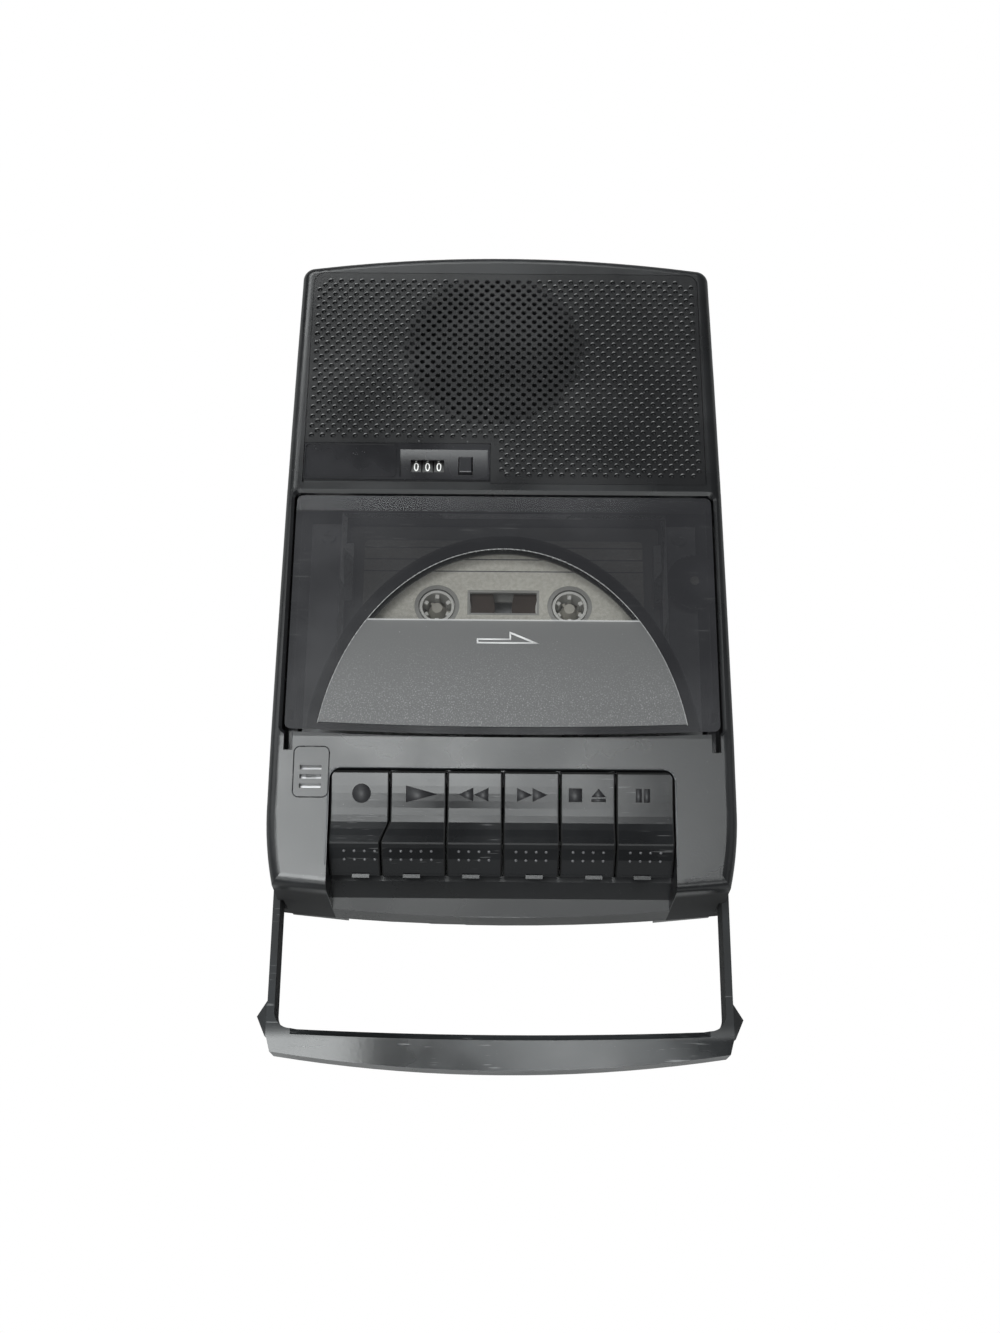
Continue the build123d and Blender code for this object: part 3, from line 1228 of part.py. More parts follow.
# ---- handle ------------------------------------------------------------------------------------------
bar_corner_x = arm_outer_half - bar_corner_setback
ear_half = arm_outer_half + ear_reach
with BuildPart() as handle:
    with BuildSketch(Plane.XY.offset(handle_z)) as frame_plan:
        with BuildLine():
            bar_corner_y = bar_front_y + bar_bow
            ThreePointArc((-bar_corner_x, bar_corner_y), (0, bar_front_y), (bar_corner_x, bar_corner_y))
            for side in (1, -1):
                Polyline(
                    (side * bar_corner_x, bar_corner_y),
                    (side * arm_outer_half, bar_front_y + 10.0),
                    (side * arm_outer_half, arm_rear_y),
                )
            Line((-arm_outer_half, arm_rear_y), (arm_outer_half, arm_rear_y))
        make_face()
        by_depth = frame_plan.vertices().group_by(Axis.Y)
        fillet(by_depth[1], 1.5)
        with BuildLine():
            inner = arm_outer_half - arm_thickness
            back = arm_rear_y + 1.0
            bow_y = bar_inner_y + bar_inner_bow
            ThreePointArc((-inner, bow_y), (0, bar_inner_y), (inner, bow_y))
            Polyline((inner, bow_y), (inner, back), (-inner, back), (-inner, bow_y))
        make_face(mode=Mode.SUBTRACT)
    extrude(frame_plan.sketch, amount=handle_height)
    inner_corners = handle.edges().filter_by(Axis.Z).filter_by_position(
        Axis.Y, bar_inner_y, bar_inner_y + bar_inner_bow + 0.1
    )
    fillet(inner_corners, bar_inner_radius)
    bevel_half = inner - bar_inner_radius - bar_chamfer
    bevel_y = bar_inner_y + bar_inner_bow * (bevel_half / inner) ** 2
    bevel_back = bar_inner_y + 2 * bar_inner_radius
    with BuildSketch(Plane.XY.offset(handle_top_z - bar_chamfer)) as bevel_plan:
        with BuildLine():
            ThreePointArc((-bevel_half, bevel_y), (0, bar_inner_y), (bevel_half, bevel_y))
            Polyline((bevel_half, bevel_y), (bevel_half, bevel_back), (-bevel_half, bevel_back),
                     (-bevel_half, bevel_y))
        make_face()
    extrude(bevel_plan.sketch, amount=1.5 * bar_chamfer, taper=-45, mode=Mode.SUBTRACT)
    for side in (1, -1):
        ear = [
            (side * (arm_outer_half - 1.0), bar_front_y + 21.0),
            (side * arm_outer_half, bar_front_y + 20.5),
            (side * ear_half, bar_front_y + 16.6),
            (side * (arm_outer_half + 0.6), bar_front_y + 10.0),
            (side * (arm_outer_half - 1.0), bar_front_y + 9.5),
        ]
        with BuildSketch(Plane.XY.offset(handle_z)) as ear_plan:
            with BuildLine():
                Polyline(*ear, close=True)
            make_face()
        extrude(ear_plan.sketch, amount=handle_height - 1.0)
        slope = [
            (side * arm_outer_half, handle_top_z - 0.5),
            (side * (ear_half + 1), handle_z + 2.0),
            (side * (ear_half + 1), handle_top_z + 1),
            (side * arm_outer_half, handle_top_z + 1),
        ]
        with BuildSketch(Plane.XZ.offset(-bar_front_y - 5.0)) as slope_shape:
            with BuildLine():
                Polyline(*slope, close=True)
            make_face()
        extrude(slope_shape.sketch, amount=-20.0, mode=Mode.SUBTRACT)
        lug_x = sorted((side * (arm_outer_half - arm_thickness - 2.2), side * (arm_outer_half - 1)))
        block(lug_x, (arm_rear_y - 3.0, arm_rear_y), (16.4, 20.6))
save(handle, "handle")
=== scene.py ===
"""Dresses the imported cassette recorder: perforated speaker end, keys, counter, lid and finishes.

Every piece is in metres in the recorder's own frame: +X right, +Y to the speaker end, +Z up.
"""

import json
import math

import bmesh
import bpy
from bpy.props import FloatProperty, FloatVectorProperty, PointerProperty
from mathutils import Matrix, Vector


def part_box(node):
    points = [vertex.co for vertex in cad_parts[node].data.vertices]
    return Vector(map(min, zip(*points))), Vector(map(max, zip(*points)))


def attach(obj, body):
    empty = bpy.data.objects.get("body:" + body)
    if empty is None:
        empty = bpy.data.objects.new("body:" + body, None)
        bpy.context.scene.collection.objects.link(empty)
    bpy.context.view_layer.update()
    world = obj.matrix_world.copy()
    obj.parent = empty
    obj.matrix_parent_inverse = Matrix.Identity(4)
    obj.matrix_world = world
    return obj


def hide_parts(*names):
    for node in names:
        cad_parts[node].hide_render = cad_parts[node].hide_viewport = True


bl_info = {
    "name": "Cassette Recorder Dresser",
    "version": (1, 0, 0),
    "blender": (4, 5, 0),
    "location": "3D View > Sidebar > Recorder",
    "description": "Adds the finishes and fine pieces of a portable cassette recorder",
    "category": "Object",
}

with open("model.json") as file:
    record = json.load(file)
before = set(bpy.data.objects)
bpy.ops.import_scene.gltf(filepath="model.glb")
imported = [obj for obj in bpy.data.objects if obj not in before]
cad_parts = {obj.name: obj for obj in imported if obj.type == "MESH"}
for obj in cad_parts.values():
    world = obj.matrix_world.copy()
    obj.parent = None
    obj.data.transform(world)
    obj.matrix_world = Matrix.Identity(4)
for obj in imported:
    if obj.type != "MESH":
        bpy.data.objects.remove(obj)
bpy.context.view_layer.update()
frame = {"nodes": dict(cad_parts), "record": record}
MM = 0.001
NODES = frame["nodes"]

# ---- places that the finishes and marks follow, in millimetres or, where said, in metres ----
# Arch of the window: half width, height, middle, and the front line where it stops.
WINDOW_HALF, WINDOW_TALL, WINDOW_Y, WINDOW_FRONT = 58.4, 76.4, -52.9, -36.5
ARCH_STEPS = 96
# Inner edge of the bright bead, a painted highlight on the arch's step, as shares of the arch across and
# along.
BEAD_ACROSS, BEAD_ALONG = 0.9955, 0.9962
# Outer edge of the dark rib round the arch, as squared shares of the arch.
RIB_EDGE = (1.125, 1.11)
# The window's print, in metres: where it starts, where it grows paler (a painted shade gradient), and its
# bright edge line, a painted highlight.
PRINT_START, PRINT_FULL, PRINT_HIGHLIGHT = (-0.0008, -0.0012), (-0.002, -0.036), -0.0011
ARROW_OUTER = [(-8.2, -9.1), (11.4, -9.1), (2.0, -5.0), (2.0, -7.4), (-8.2, -7.4)]
ARROW_INNER = [(-7.7, -8.6), (8.8, -8.6), (2.5, -5.9), (2.5, -7.9), (-7.7, -7.9)]
# Label of the cassette, in metres: spacing of the ruled lines and where they begin.
RULE_PITCH, RULE_START = 0.0042, (0.0155, 0.0157)
# Surface of the speaker end, in metres, and the middle of the speaker.
EDGE_Y, TOP_Z = 0.0445, 0.048
GRILLE_SLOPE = math.tan(math.radians(1.8))
SPEAKER = (-0.0036, 0.0977)
# Speaker panel, in metres: thickness, corner radius, plain margins of its field and of the counter.
PANEL_THICKNESS, PANEL_CORNER = 0.0012, 0.004
FIELD_MARGIN, COUNTER_MARGIN, COUNTER_GAP = (0.002, 0.003), 0.0006, 0.0003
# Holes: sides, lip in metres, brightest side and focus of the painted highlight on the blind lips, taper
# of the blind ones.
HOLE_SIDES, LIP, LIP_GLINT_SIDE, LIP_GLINT_FOCUS, BLIND_TAPER = 12, 0.00017, math.radians(110), 5, 0.8
# Deck around the keys: its rear end and slope.
DECK_REAR, DECK_SLOPE = -39.9, math.tan(math.radians(3.6))
# Bounds of the scoop in the case, in metres, each as a narrow range over which the finish changes.
SCOOP_SIDE, SCOOP_BEHIND, SCOOP_DEPTH = (0.0524, 0.0528), (-0.0500, -0.0490), (0.0400, 0.0350)
# Edge of the key well: half width, front, rear, corner radius, and the painted highlight line along it.
WELL_HALF, WELL_FRONT, WELL_REAR, WELL_CORNER = 52.6, -79.6, -49.7, 3.5
WELL_TURNS = (0, 22, 45, 67, 90)
GLINT_SPREAD, GLINT_WIDTH = 1.0055, 0.28
# Frame of the microphone slots: low x, high x, low y, high y, corner radius and line width.
FRAME, FRAME_CORNER, FRAME_LINE = (-63.6, -52.5, -59.1, -43.0), 2.0, 0.35
# Gaps between the keys, and the slanted gap with its bend along y and across, in metres.
KEY_EDGES, SLANTED_EDGE = (-52.4, -16.8, 0.3, 17.6, 34.6, 52.4), -34.1
SLANT_RANGE, SLANT = (-0.0650, -0.0720), 0.0025
# Tops of the keys: rear, ridge, heights and curve of the hollow, and the front's outline.
KEY_REAR, KEY_RIDGE = -50.2, -72.0
KEY_TOP, KEY_DIP, KEY_RISE, KEY_CURVE = 46.2, 7.4, 5.3, 2.6
KEY_FRONT = ((-72.0, 44.1), (-72.5, 43.8), (-73.4, 42.6), (-76.0, 39.4), (-79.2, 34.8), (-79.8, 33.5))
GRIP_ROWS = (-74.1, -76.1)
# Handle, in metres: where its polished bar gives way to the duller arms.
ARM_START = (-0.128, -0.122)
# Counter digits: place and size in metres, share of the width, height over the wheel in metres.
DIGIT_X, DIGIT_SIZE, DIGIT_WIDTH, DIGIT_RISE = 0.00165, 0.0044, 0.8, 0.00004
# Camera: sideways place in metres, roll, and sensor width in millimetres.
CAMERA_X, CAMERA_ROLL, SENSOR = -0.0009, math.radians(0.45), 36.0
# Lamps: name, place, target and size in metres, and watts; the key lamp's are a setting.
KEY_LAMP = ("key_lamp", (-0.335, -0.43, 2.0), (-0.335, -0.429, 0.0), (1.0, 1.66))
FILL_LAMPS = (
    ("front_lamp", (-0.1, -0.95, 0.68), (0.0, -0.09, 0.03), (0.9, 0.3), 2.3),
    ("rear_lamp", (-0.3, 0.78, 0.66), (-0.02, 0.06, 0.05), (0.9, 0.25), 3.4),
    ("left_lamp", (-0.9, 0.25, 0.55), (0.0, 0.03, 0.03), (0.4, 0.6), 1.0),
    ("right_lamp", (0.9, 0.1, 0.5), (0.0, 0.0, 0.03), (0.4, 0.6), 0.3),
)
LAMP_COLOUR = (0.97, 1.0, 1.0)
WORLD_LIGHT = 0.06
# Floor, and dark card above the camera, in metres: low x, high x, low y, high y and height.
FLOOR, CARD = (-3.0, 3.0, -3.0, 3.0, 0.0), (-0.09, 0.018, -0.17, -0.02, 0.6)

# Finishes by material slot, filled when they are made.
MATERIALS = {}


# ---- sizes and colours a user would change ----
def length_setting(name, description, default, low):
    """A length in metres with a lower bound."""
    return FloatProperty(name=name, description=description, default=default, min=low, unit="LENGTH")


def colour_setting(name, description, default):
    """A colour of three shares."""
    return FloatVectorProperty(name=name, description=description, default=default,
                               subtype="COLOR", size=3, min=0, max=1)


class GrilleSettings(bpy.types.PropertyGroup):
    """Lattice of holes over the speaker end"""

    pitch: length_setting("Pitch", "Distance between holes along a row", 0.00357, 0.001)
    hole: length_setting("Hole radius", "Radius of each hole", 0.00074, 0.0002)
    depth: length_setting("Blind depth", "Depth of the holes away from the speaker", 0.001, 0.0001)
    speaker: length_setting("Open radius", "Reach of the open holes over the speaker", 0.0296, 0.001)


class KeySettings(bpy.types.PropertyGroup):
    """Grip dots and marks of the keys"""

    dot: length_setting("Dot radius", "Radius of a grip dot", 0.00052, 0.0001)
    mark: length_setting("Mark height", "How far the key marks stand up", 0.00018, 0.00005)


class FinishSettings(bpy.types.PropertyGroup):
    """Colours of the main finishes"""

    case: colour_setting("Case", "Colour of the textured case", (0.012, 0.0125, 0.0135))
    grille: colour_setting("Grille", "Colour of the perforated panel", (0.012, 0.0122, 0.013))
    key: colour_setting("Keys", "Colour of the key caps", (0.012, 0.0125, 0.0135))
    handle: colour_setting("Handle", "Colour of the handle", (0.015, 0.0165, 0.018))
    smoke: colour_setting("Lid", "Colour of the smoked lid", (0.028, 0.028, 0.031))
    frost: colour_setting("Frost", "Colour of the window's frosted print", (0.17, 0.17, 0.172))


class StageSettings(bpy.types.PropertyGroup):
    """Camera and studio"""

    height: length_setting("Camera height", "Height of the camera over the table", 0.526, 0.1)
    back: length_setting("Camera back", "Distance of the camera in front of the middle", 0.1969, -5.0)
    tilt: FloatProperty(name="Tilt", description="Turn of the camera away from straight down",
                        default=math.radians(20.65), unit="ROTATION")
    lens: FloatProperty(name="Lens", description="Focal length in millimetres", default=44.43, min=5)
    key_power: FloatProperty(name="Key lamp", description="Power of the large soft lamp in watts",
                             default=57.0, min=0)


# ---- node helpers ----
def set_input(tree, socket, value):
    """Links another node's socket to an input, or sets the input's value."""
    if isinstance(value, bpy.types.NodeSocket):
        tree.links.new(value, socket)
    else:
        socket.default_value = value


def feed(tree, node, **inputs):
    """Sets or links a node's inputs by name."""
    for name, value in inputs.items():
        set_input(tree, node.inputs[name.replace("_", " ")], value)


def new_node(tree, kind, **settings):
    """Adds a node and sets its properties and, by name, its inputs."""
    node = tree.nodes.new(kind)
    for name, value in settings.items():
        if hasattr(node, name):
            setattr(node, name, value)
        else:
            feed(tree, node, **{name: value})
    return node


def calc(tree, operation, first, second=None):
    """A Math node on sockets or numbers, returning its output."""
    node = new_node(tree, "ShaderNodeMath", operation=operation)
    for socket, value in zip(node.inputs, (first, second)):
        if value is not None:
            set_input(tree, socket, value)
    return node.outputs[0]


def plus(tree, first, second):
    """Sum of two sockets or numbers."""
    return calc(tree, "ADD", first, second)


def times(tree, first, second):
    """Product of two sockets or numbers."""
    return calc(tree, "MULTIPLY", first, second)


def blend_colour(tree, mask, low, high):
    """Mixes two colours, or sockets, by a mask."""
    node = new_node(tree, "ShaderNodeMix", data_type="RGBA", Factor=mask)
    for socket, value in ((node.inputs[6], low), (node.inputs[7], high)):
        set_input(tree, socket, value if isinstance(value, bpy.types.NodeSocket) else (*value, 1.0))
    return node.outputs[2]


def ramp_value(tree, socket, low, high):
    """Maps a value from low..high to 0..1, clamped and smooth."""
    node = new_node(tree, "ShaderNodeMapRange", interpolation_type="SMOOTHSTEP",
                    Value=socket, From_Min=low, From_Max=high)
    return node.outputs["Result"]


def shader_group(name, inputs, outputs):
    """An empty shader node group with float inputs and outputs, and a position input."""
    tree = bpy.data.node_groups.new(name, "ShaderNodeTree")
    tree.interface.new_socket("Position", in_out="INPUT", socket_type="NodeSocketVector")
    for label, value in inputs:
        socket = tree.interface.new_socket(label, in_out="INPUT", socket_type="NodeSocketFloat")
        socket.default_value = value
    for label in outputs:
        tree.interface.new_socket(label, in_out="OUTPUT", socket_type="NodeSocketFloat")
    return tree, tree.nodes.new("NodeGroupInput"), tree.nodes.new("NodeGroupOutput")


def noise(tree, position, scale, detail=3.0):
    """Noise value at a position, with scale a socket or a number."""
    node = new_node(tree, "ShaderNodeTexNoise", Vector=position, Scale=scale, Detail=detail)
    return node.outputs["Fac"]


def make_grain_group():
    """Fine moulded texture: a height, and a slow change of tone."""
    tree, given, out = shader_group("moulded_grain", [("Scale", 1400.0)], ["Height", "Tone"])
    fine = noise(tree, given.outputs["Position"], given.outputs["Scale"], 2.0)
    slow = noise(tree, given.outputs["Position"], 28.0, 4.0)
    feed(tree, out, Height=fine, Tone=ramp_value(tree, slow, 0.35, 0.68))


def make_dust_group():
    """Small pale specks of dust, thicker in patches."""
    tree, given, out = shader_group("dust_specks", [("Scale", 700.0), ("Amount", 0.5)], ["Mask"])
    place = given.outputs["Position"]
    cells = new_node(tree, "ShaderNodeTexVoronoi", Vector=place, Scale=given.outputs["Scale"])
    speck = ramp_value(tree, cells.outputs["Distance"], 0.16, 0.05)
    pick = ramp_value(tree, noise(tree, place, 260.0), 0.56, 0.66)
    patch = ramp_value(tree, noise(tree, place, 24.0, 2.0), 0.38, 0.62)
    mask = times(tree, times(tree, speck, pick), patch)
    feed(tree, out, Mask=times(tree, mask, given.outputs["Amount"]))


def make_scratch_group():
    """Thin scratches in two directions."""
    tree, given, out = shader_group("fine_scratches", [("Amount", 0.5)], ["Mask"])
    place = given.outputs["Position"]
    lines = []
    for angle, scale in ((0.5, 60.0), (-0.9, 90.0)):
        turn = new_node(tree, "ShaderNodeMapping", Vector=place, Rotation=(0.0, 0.0, angle),
                        Scale=(1.0, 22.0, 1.0))
        lines.append(ramp_value(tree, noise(tree, turn.outputs["Vector"], scale, 1.0), 0.70, 0.74))
    breaks = ramp_value(tree, noise(tree, place, 55.0, 2.0), 0.50, 0.60)
    mask = times(tree, calc(tree, "MAXIMUM", *lines), breaks)
    feed(tree, out, Mask=times(tree, mask, given.outputs["Amount"]))


def place_group(tree, name, position, **values):
    """Puts a shared group in a material with its own values."""
    group = bpy.data.node_groups[name]
    return new_node(tree, "ShaderNodeGroup", node_tree=group, Position=position, **values).outputs


def bare_material(name):
    """A new material with its node tree and Principled shader."""
    material = bpy.data.materials.new(name)
    material.use_nodes = True
    return material, material.node_tree, material.node_tree.nodes["Principled BSDF"]


def start_material(name):
    """A new material with its node tree, Principled shader and object position."""
    material, tree, shader = bare_material(name)
    return material, tree, shader, tree.nodes.new("ShaderNodeTexCoord").outputs["Object"]


def split_axes(tree, place):
    """The X, Y and Z outputs of a position."""
    return new_node(tree, "ShaderNodeSeparateXYZ", Vector=place).outputs


def reopen(material):
    """Tree, shader and position axes of a finished material, to add to it."""
    tree = material.node_tree
    place = tree.nodes.new("ShaderNodeTexCoord").outputs["Object"]
    return tree, tree.nodes["Principled BSDF"], split_axes(tree, place)


def feeding(shader, label):
    """The socket that feeds an input of the shader."""
    return shader.inputs[label].links[0].from_socket


def distance_from(tree, value, place):
    """How far a value lies from a place, on either side."""
    return calc(tree, "ABSOLUTE", calc(tree, "SUBTRACT", value, place))


def scaled(colour, factor):
    """A colour made lighter or darker by a factor."""
    return tuple(channel * factor for channel in colour)


def seen_straight(tree):
    """One for rays from the camera or through clear pieces, else zero."""
    rays = tree.nodes.new("ShaderNodeLightPath")
    return calc(tree, "MAXIMUM", rays.outputs["Is Camera Ray"], rays.outputs["Is Transmission Ray"])


def add_bump(tree, shader, height, strength, distance):
    """Feeds a height into the shader's normal."""
    bump = new_node(tree, "ShaderNodeBump", Strength=strength, Distance=distance, Height=height)
    feed(tree, shader, Normal=bump.outputs["Normal"])


def plastic(name, colour, roughness=0.45, grain=1400.0, bump=0.25, dust=0.3, scratches=0.0,
            spread=0.25, specular=0.5, speck=700.0):
    """Moulded plastic with grain, slow tone changes, dust and scratches."""
    material, tree, shader, place = start_material(name)
    texture = place_group(tree, "moulded_grain", place, Scale=grain)
    lighter = tuple(min(1.0, channel * (1 + spread)) for channel in colour)
    tone = blend_colour(tree, texture["Tone"], scaled(colour, 1 - spread), lighter)
    specks = place_group(tree, "dust_specks", place, Scale=speck, Amount=dust)
    pale = tuple(min(1.0, channel * 1.5 + 0.16) for channel in colour)
    tone = blend_colour(tree, specks["Mask"], tone, pale)
    rough = plus(tree, times(tree, texture["Tone"], 0.10), roughness - 0.05)
    rough = plus(tree, rough, times(tree, specks["Mask"], 0.3))
    if scratches:
        lines = place_group(tree, "fine_scratches", place, Amount=scratches)
        tone = blend_colour(tree, lines["Mask"], tone, pale)
        rough = plus(tree, rough, times(tree, lines["Mask"], 0.25))
    feed(tree, shader, Base_Color=tone, Roughness=rough, Specular_IOR_Level=specular)
    add_bump(tree, shader, texture["Height"], bump, 0.00006)
    return material


def metal(name, colour, roughness):
    """Brushed or plated metal with fine lines."""
    material, tree, shader, place = start_material(name)
    stretch = new_node(tree, "ShaderNodeMapping", Vector=place, Scale=(1.0, 12.0, 12.0))
    lines = noise(tree, stretch.outputs["Vector"], 600.0)
    shade = blend_colour(tree, ramp_value(tree, lines, 0.3, 0.7), scaled(colour, 0.82), colour)
    rough = plus(tree, times(tree, lines, 0.16), roughness - 0.08)
    feed(tree, shader, Base_Color=shade, Roughness=rough, Metallic=1.0)
    add_bump(tree, shader, lines, 0.12, 0.00003)
    return material


def make_lid_material(settings):
    """Smoked see-through plastic, faintly scratched and dusty, with a dark rib round the arch."""
    material, tree, shader, place = start_material("smoked_lid")
    texture = place_group(tree, "moulded_grain", place, Scale=900.0)
    specks = place_group(tree, "dust_specks", place, Amount=0.35)
    lines = place_group(tree, "fine_scratches", place, Amount=0.25)
    colour = tuple(settings.smoke)
    tone = blend_colour(tree, texture["Tone"], colour, scaled(colour, 1.25))
    tone = blend_colour(tree, specks["Mask"], tone, (0.3, 0.3, 0.3))
    tone = blend_colour(tree, lines["Mask"], tone, (0.16, 0.16, 0.16))
    axes = split_axes(tree, place)
    across = calc(tree, "DIVIDE", axes["X"], WINDOW_HALF * MM)
    along = calc(tree, "DIVIDE", calc(tree, "SUBTRACT", axes["Y"], WINDOW_Y * MM), WINDOW_TALL * MM)
    reach = plus(tree, times(tree, across, across), times(tree, along, along))
    rib = ramp_value(tree, reach, *RIB_EDGE)
    tone = blend_colour(tree, times(tree, rib, 0.5), tone, (0.004, 0.004, 0.005))
    rough = plus(tree, times(tree, texture["Tone"], 0.08), 0.2)
    veil = plus(tree, times(tree, rib, 0.3), 0.62)
    feed(tree, shader, Base_Color=tone, Roughness=rough, Alpha=veil)
    add_bump(tree, shader, texture["Height"], 0.015, 0.00004)
    return material


def make_window_material(settings):
    """Clear smoked arch at the rear, frosted silver print at the front, split by a straight line that is
    a painted highlight; the print is painted darker near that line and paler towards the front.
    """
    material, tree, shader, place = start_material("window_print")
    along = split_axes(tree, place)["Y"]
    front = ramp_value(tree, along, *PRINT_START)
    glint = ramp_value(tree, noise(tree, place, 2400.0, 2.0), 0.52, 0.72)
    frost = tuple(settings.frost)
    speckled = blend_colour(tree, glint, scaled(frost, 0.72), scaled(frost, 1.6))
    fade = ramp_value(tree, noise(tree, place, 22.0, 3.0), 0.35, 0.7)
    speckled = blend_colour(tree, times(tree, fade, 0.35), speckled, scaled(frost, 0.7))
    # Print darker near the split and paler towards the front: painted shade.
    depth = ramp_value(tree, along, *PRINT_FULL)
    speckled = blend_colour(tree, depth, scaled(frost, 0.62), speckled)
    tone = blend_colour(tree, front, (0.05, 0.05, 0.05), speckled)
    # Pale band along the split: a painted highlight.
    line = ramp_value(tree, distance_from(tree, along, PRINT_HIGHLIGHT), 0.0004, 0.0002)
    tone = blend_colour(tree, line, tone, (0.42, 0.42, 0.42))
    specks = place_group(tree, "dust_specks", place, Amount=0.4)
    tone = blend_colour(tree, specks["Mask"], tone, (0.5, 0.5, 0.5))
    rough = plus(tree, times(tree, front, 0.28), 0.10)
    veil = plus(tree, times(tree, front, 0.6), 0.2)
    feed(tree, shader, Base_Color=tone, Roughness=rough, Alpha=veil)
    add_bump(tree, shader, times(tree, glint, front), 0.25, 0.00005)
    return material


def make_grille_material(settings):
    """Satin panel with heavy pale dust specks that also stand in for glints, and a painted highlight on
    one side of each blind hole's lip.
    """
    # Heavy, coarse dust here: its pale specks are dust and also stand in for glints on the hole rims, a
    # painted highlight.
    material = plastic("grille_satin", tuple(settings.grille), 0.3, 1500.0, 0.3, 1.0, spread=0.1,
                       speck=430.0)
    tree = material.node_tree
    shader = tree.nodes["Principled BSDF"]
    # Painted highlight: the blind holes' lips are made pale on one side, by the layer set in tile_mesh.
    painted_glint = new_node(tree, "ShaderNodeAttribute", attribute_name="lip_wear")
    tone = blend_colour(tree, painted_glint.outputs["Fac"], feeding(shader, "Base Color"), (0.42, 0.42, 0.42))
    feed(tree, shader, Base_Color=tone)
    return material


def make_case_material(settings):
    """Satin top, with a duller texture on the upright faces beside the scoop."""
    material = plastic("case_textured", tuple(settings.case), 0.3, 1500.0, 0.25, 0.3, specular=0.66)
    tree, shader, axes = reopen(material)
    low = ramp_value(tree, axes["Z"], *SCOOP_DEPTH)
    beside = ramp_value(tree, calc(tree, "ABSOLUTE", axes["X"]), *SCOOP_SIDE)
    behind = ramp_value(tree, axes["Y"], *SCOOP_BEHIND)
    outside = calc(tree, "MAXIMUM", beside, behind)
    dull = times(tree, times(tree, low, outside), 0.45)
    feed(tree, shader, Roughness=plus(tree, feeding(shader, "Roughness"), dull))
    return material


def make_key_material(settings):
    """Satin key caps, painted dark and matt along the edges beside the gaps, as shade in the gaps."""
    material = plastic("key_satin", tuple(settings.key), 0.2, 900.0, 0.1, 0.25, 0.35, specular=0.36)
    tree, shader, axes = reopen(material)
    slant = times(tree, ramp_value(tree, axes["Y"], *SLANT_RANGE), SLANT)
    nearest = distance_from(tree, plus(tree, axes["X"], slant), SLANTED_EDGE * MM)
    for edge in KEY_EDGES:
        nearest = calc(tree, "MINIMUM", nearest, distance_from(tree, axes["X"], edge * MM))
    nearest = calc(tree, "MINIMUM", nearest, distance_from(tree, axes["Y"], KEY_REAR * MM))
    # Near-black, matt band along each key's edges: painted shade in the gaps.
    gap_shade = ramp_value(tree, nearest, 0.00075, 0.00055)
    tone = blend_colour(tree, gap_shade, feeding(shader, "Base Color"), (0.002, 0.002, 0.002))
    rough = plus(tree, feeding(shader, "Roughness"), times(tree, gap_shade, 0.7))
    feed(tree, shader, Base_Color=tone, Roughness=rough)
    return material


def make_handle_material(settings):
    """Scratched plastic, glossy on the bar and duller on the arms."""
    material = plastic("handle_gloss", tuple(settings.handle), roughness=0.17, grain=700.0, bump=0.08,
                       dust=0.25, scratches=0.7, spread=0.5)
    tree, shader, axes = reopen(material)
    arms = ramp_value(tree, axes["Y"], *ARM_START)
    feed(tree, shader, Roughness=plus(tree, feeding(shader, "Roughness"), times(tree, arms, 0.62)))
    return material


def make_label_material():
    """Off-white paper with ruled lines at the rear."""
    material, tree, shader, place = start_material("label_print")
    along = split_axes(tree, place)["Y"]
    fibre = noise(tree, place, 900.0, 4.0)
    mottle = ramp_value(tree, fibre, 0.3, 0.7)
    paper = blend_colour(tree, mottle, (0.50, 0.48, 0.43), (0.60, 0.58, 0.52))
    wave = calc(tree, "FRACT", times(tree, along, 1 / RULE_PITCH))
    rule = ramp_value(tree, distance_from(tree, wave, 0.5), 0.06, 0.03)
    rear = ramp_value(tree, along, *RULE_START)
    paper = blend_colour(tree, times(tree, rule, rear), paper, (0.10, 0.10, 0.11))
    feed(tree, shader, Base_Color=paper, Roughness=0.7)
    add_bump(tree, shader, fibre, 0.15, 0.00004)
    return material


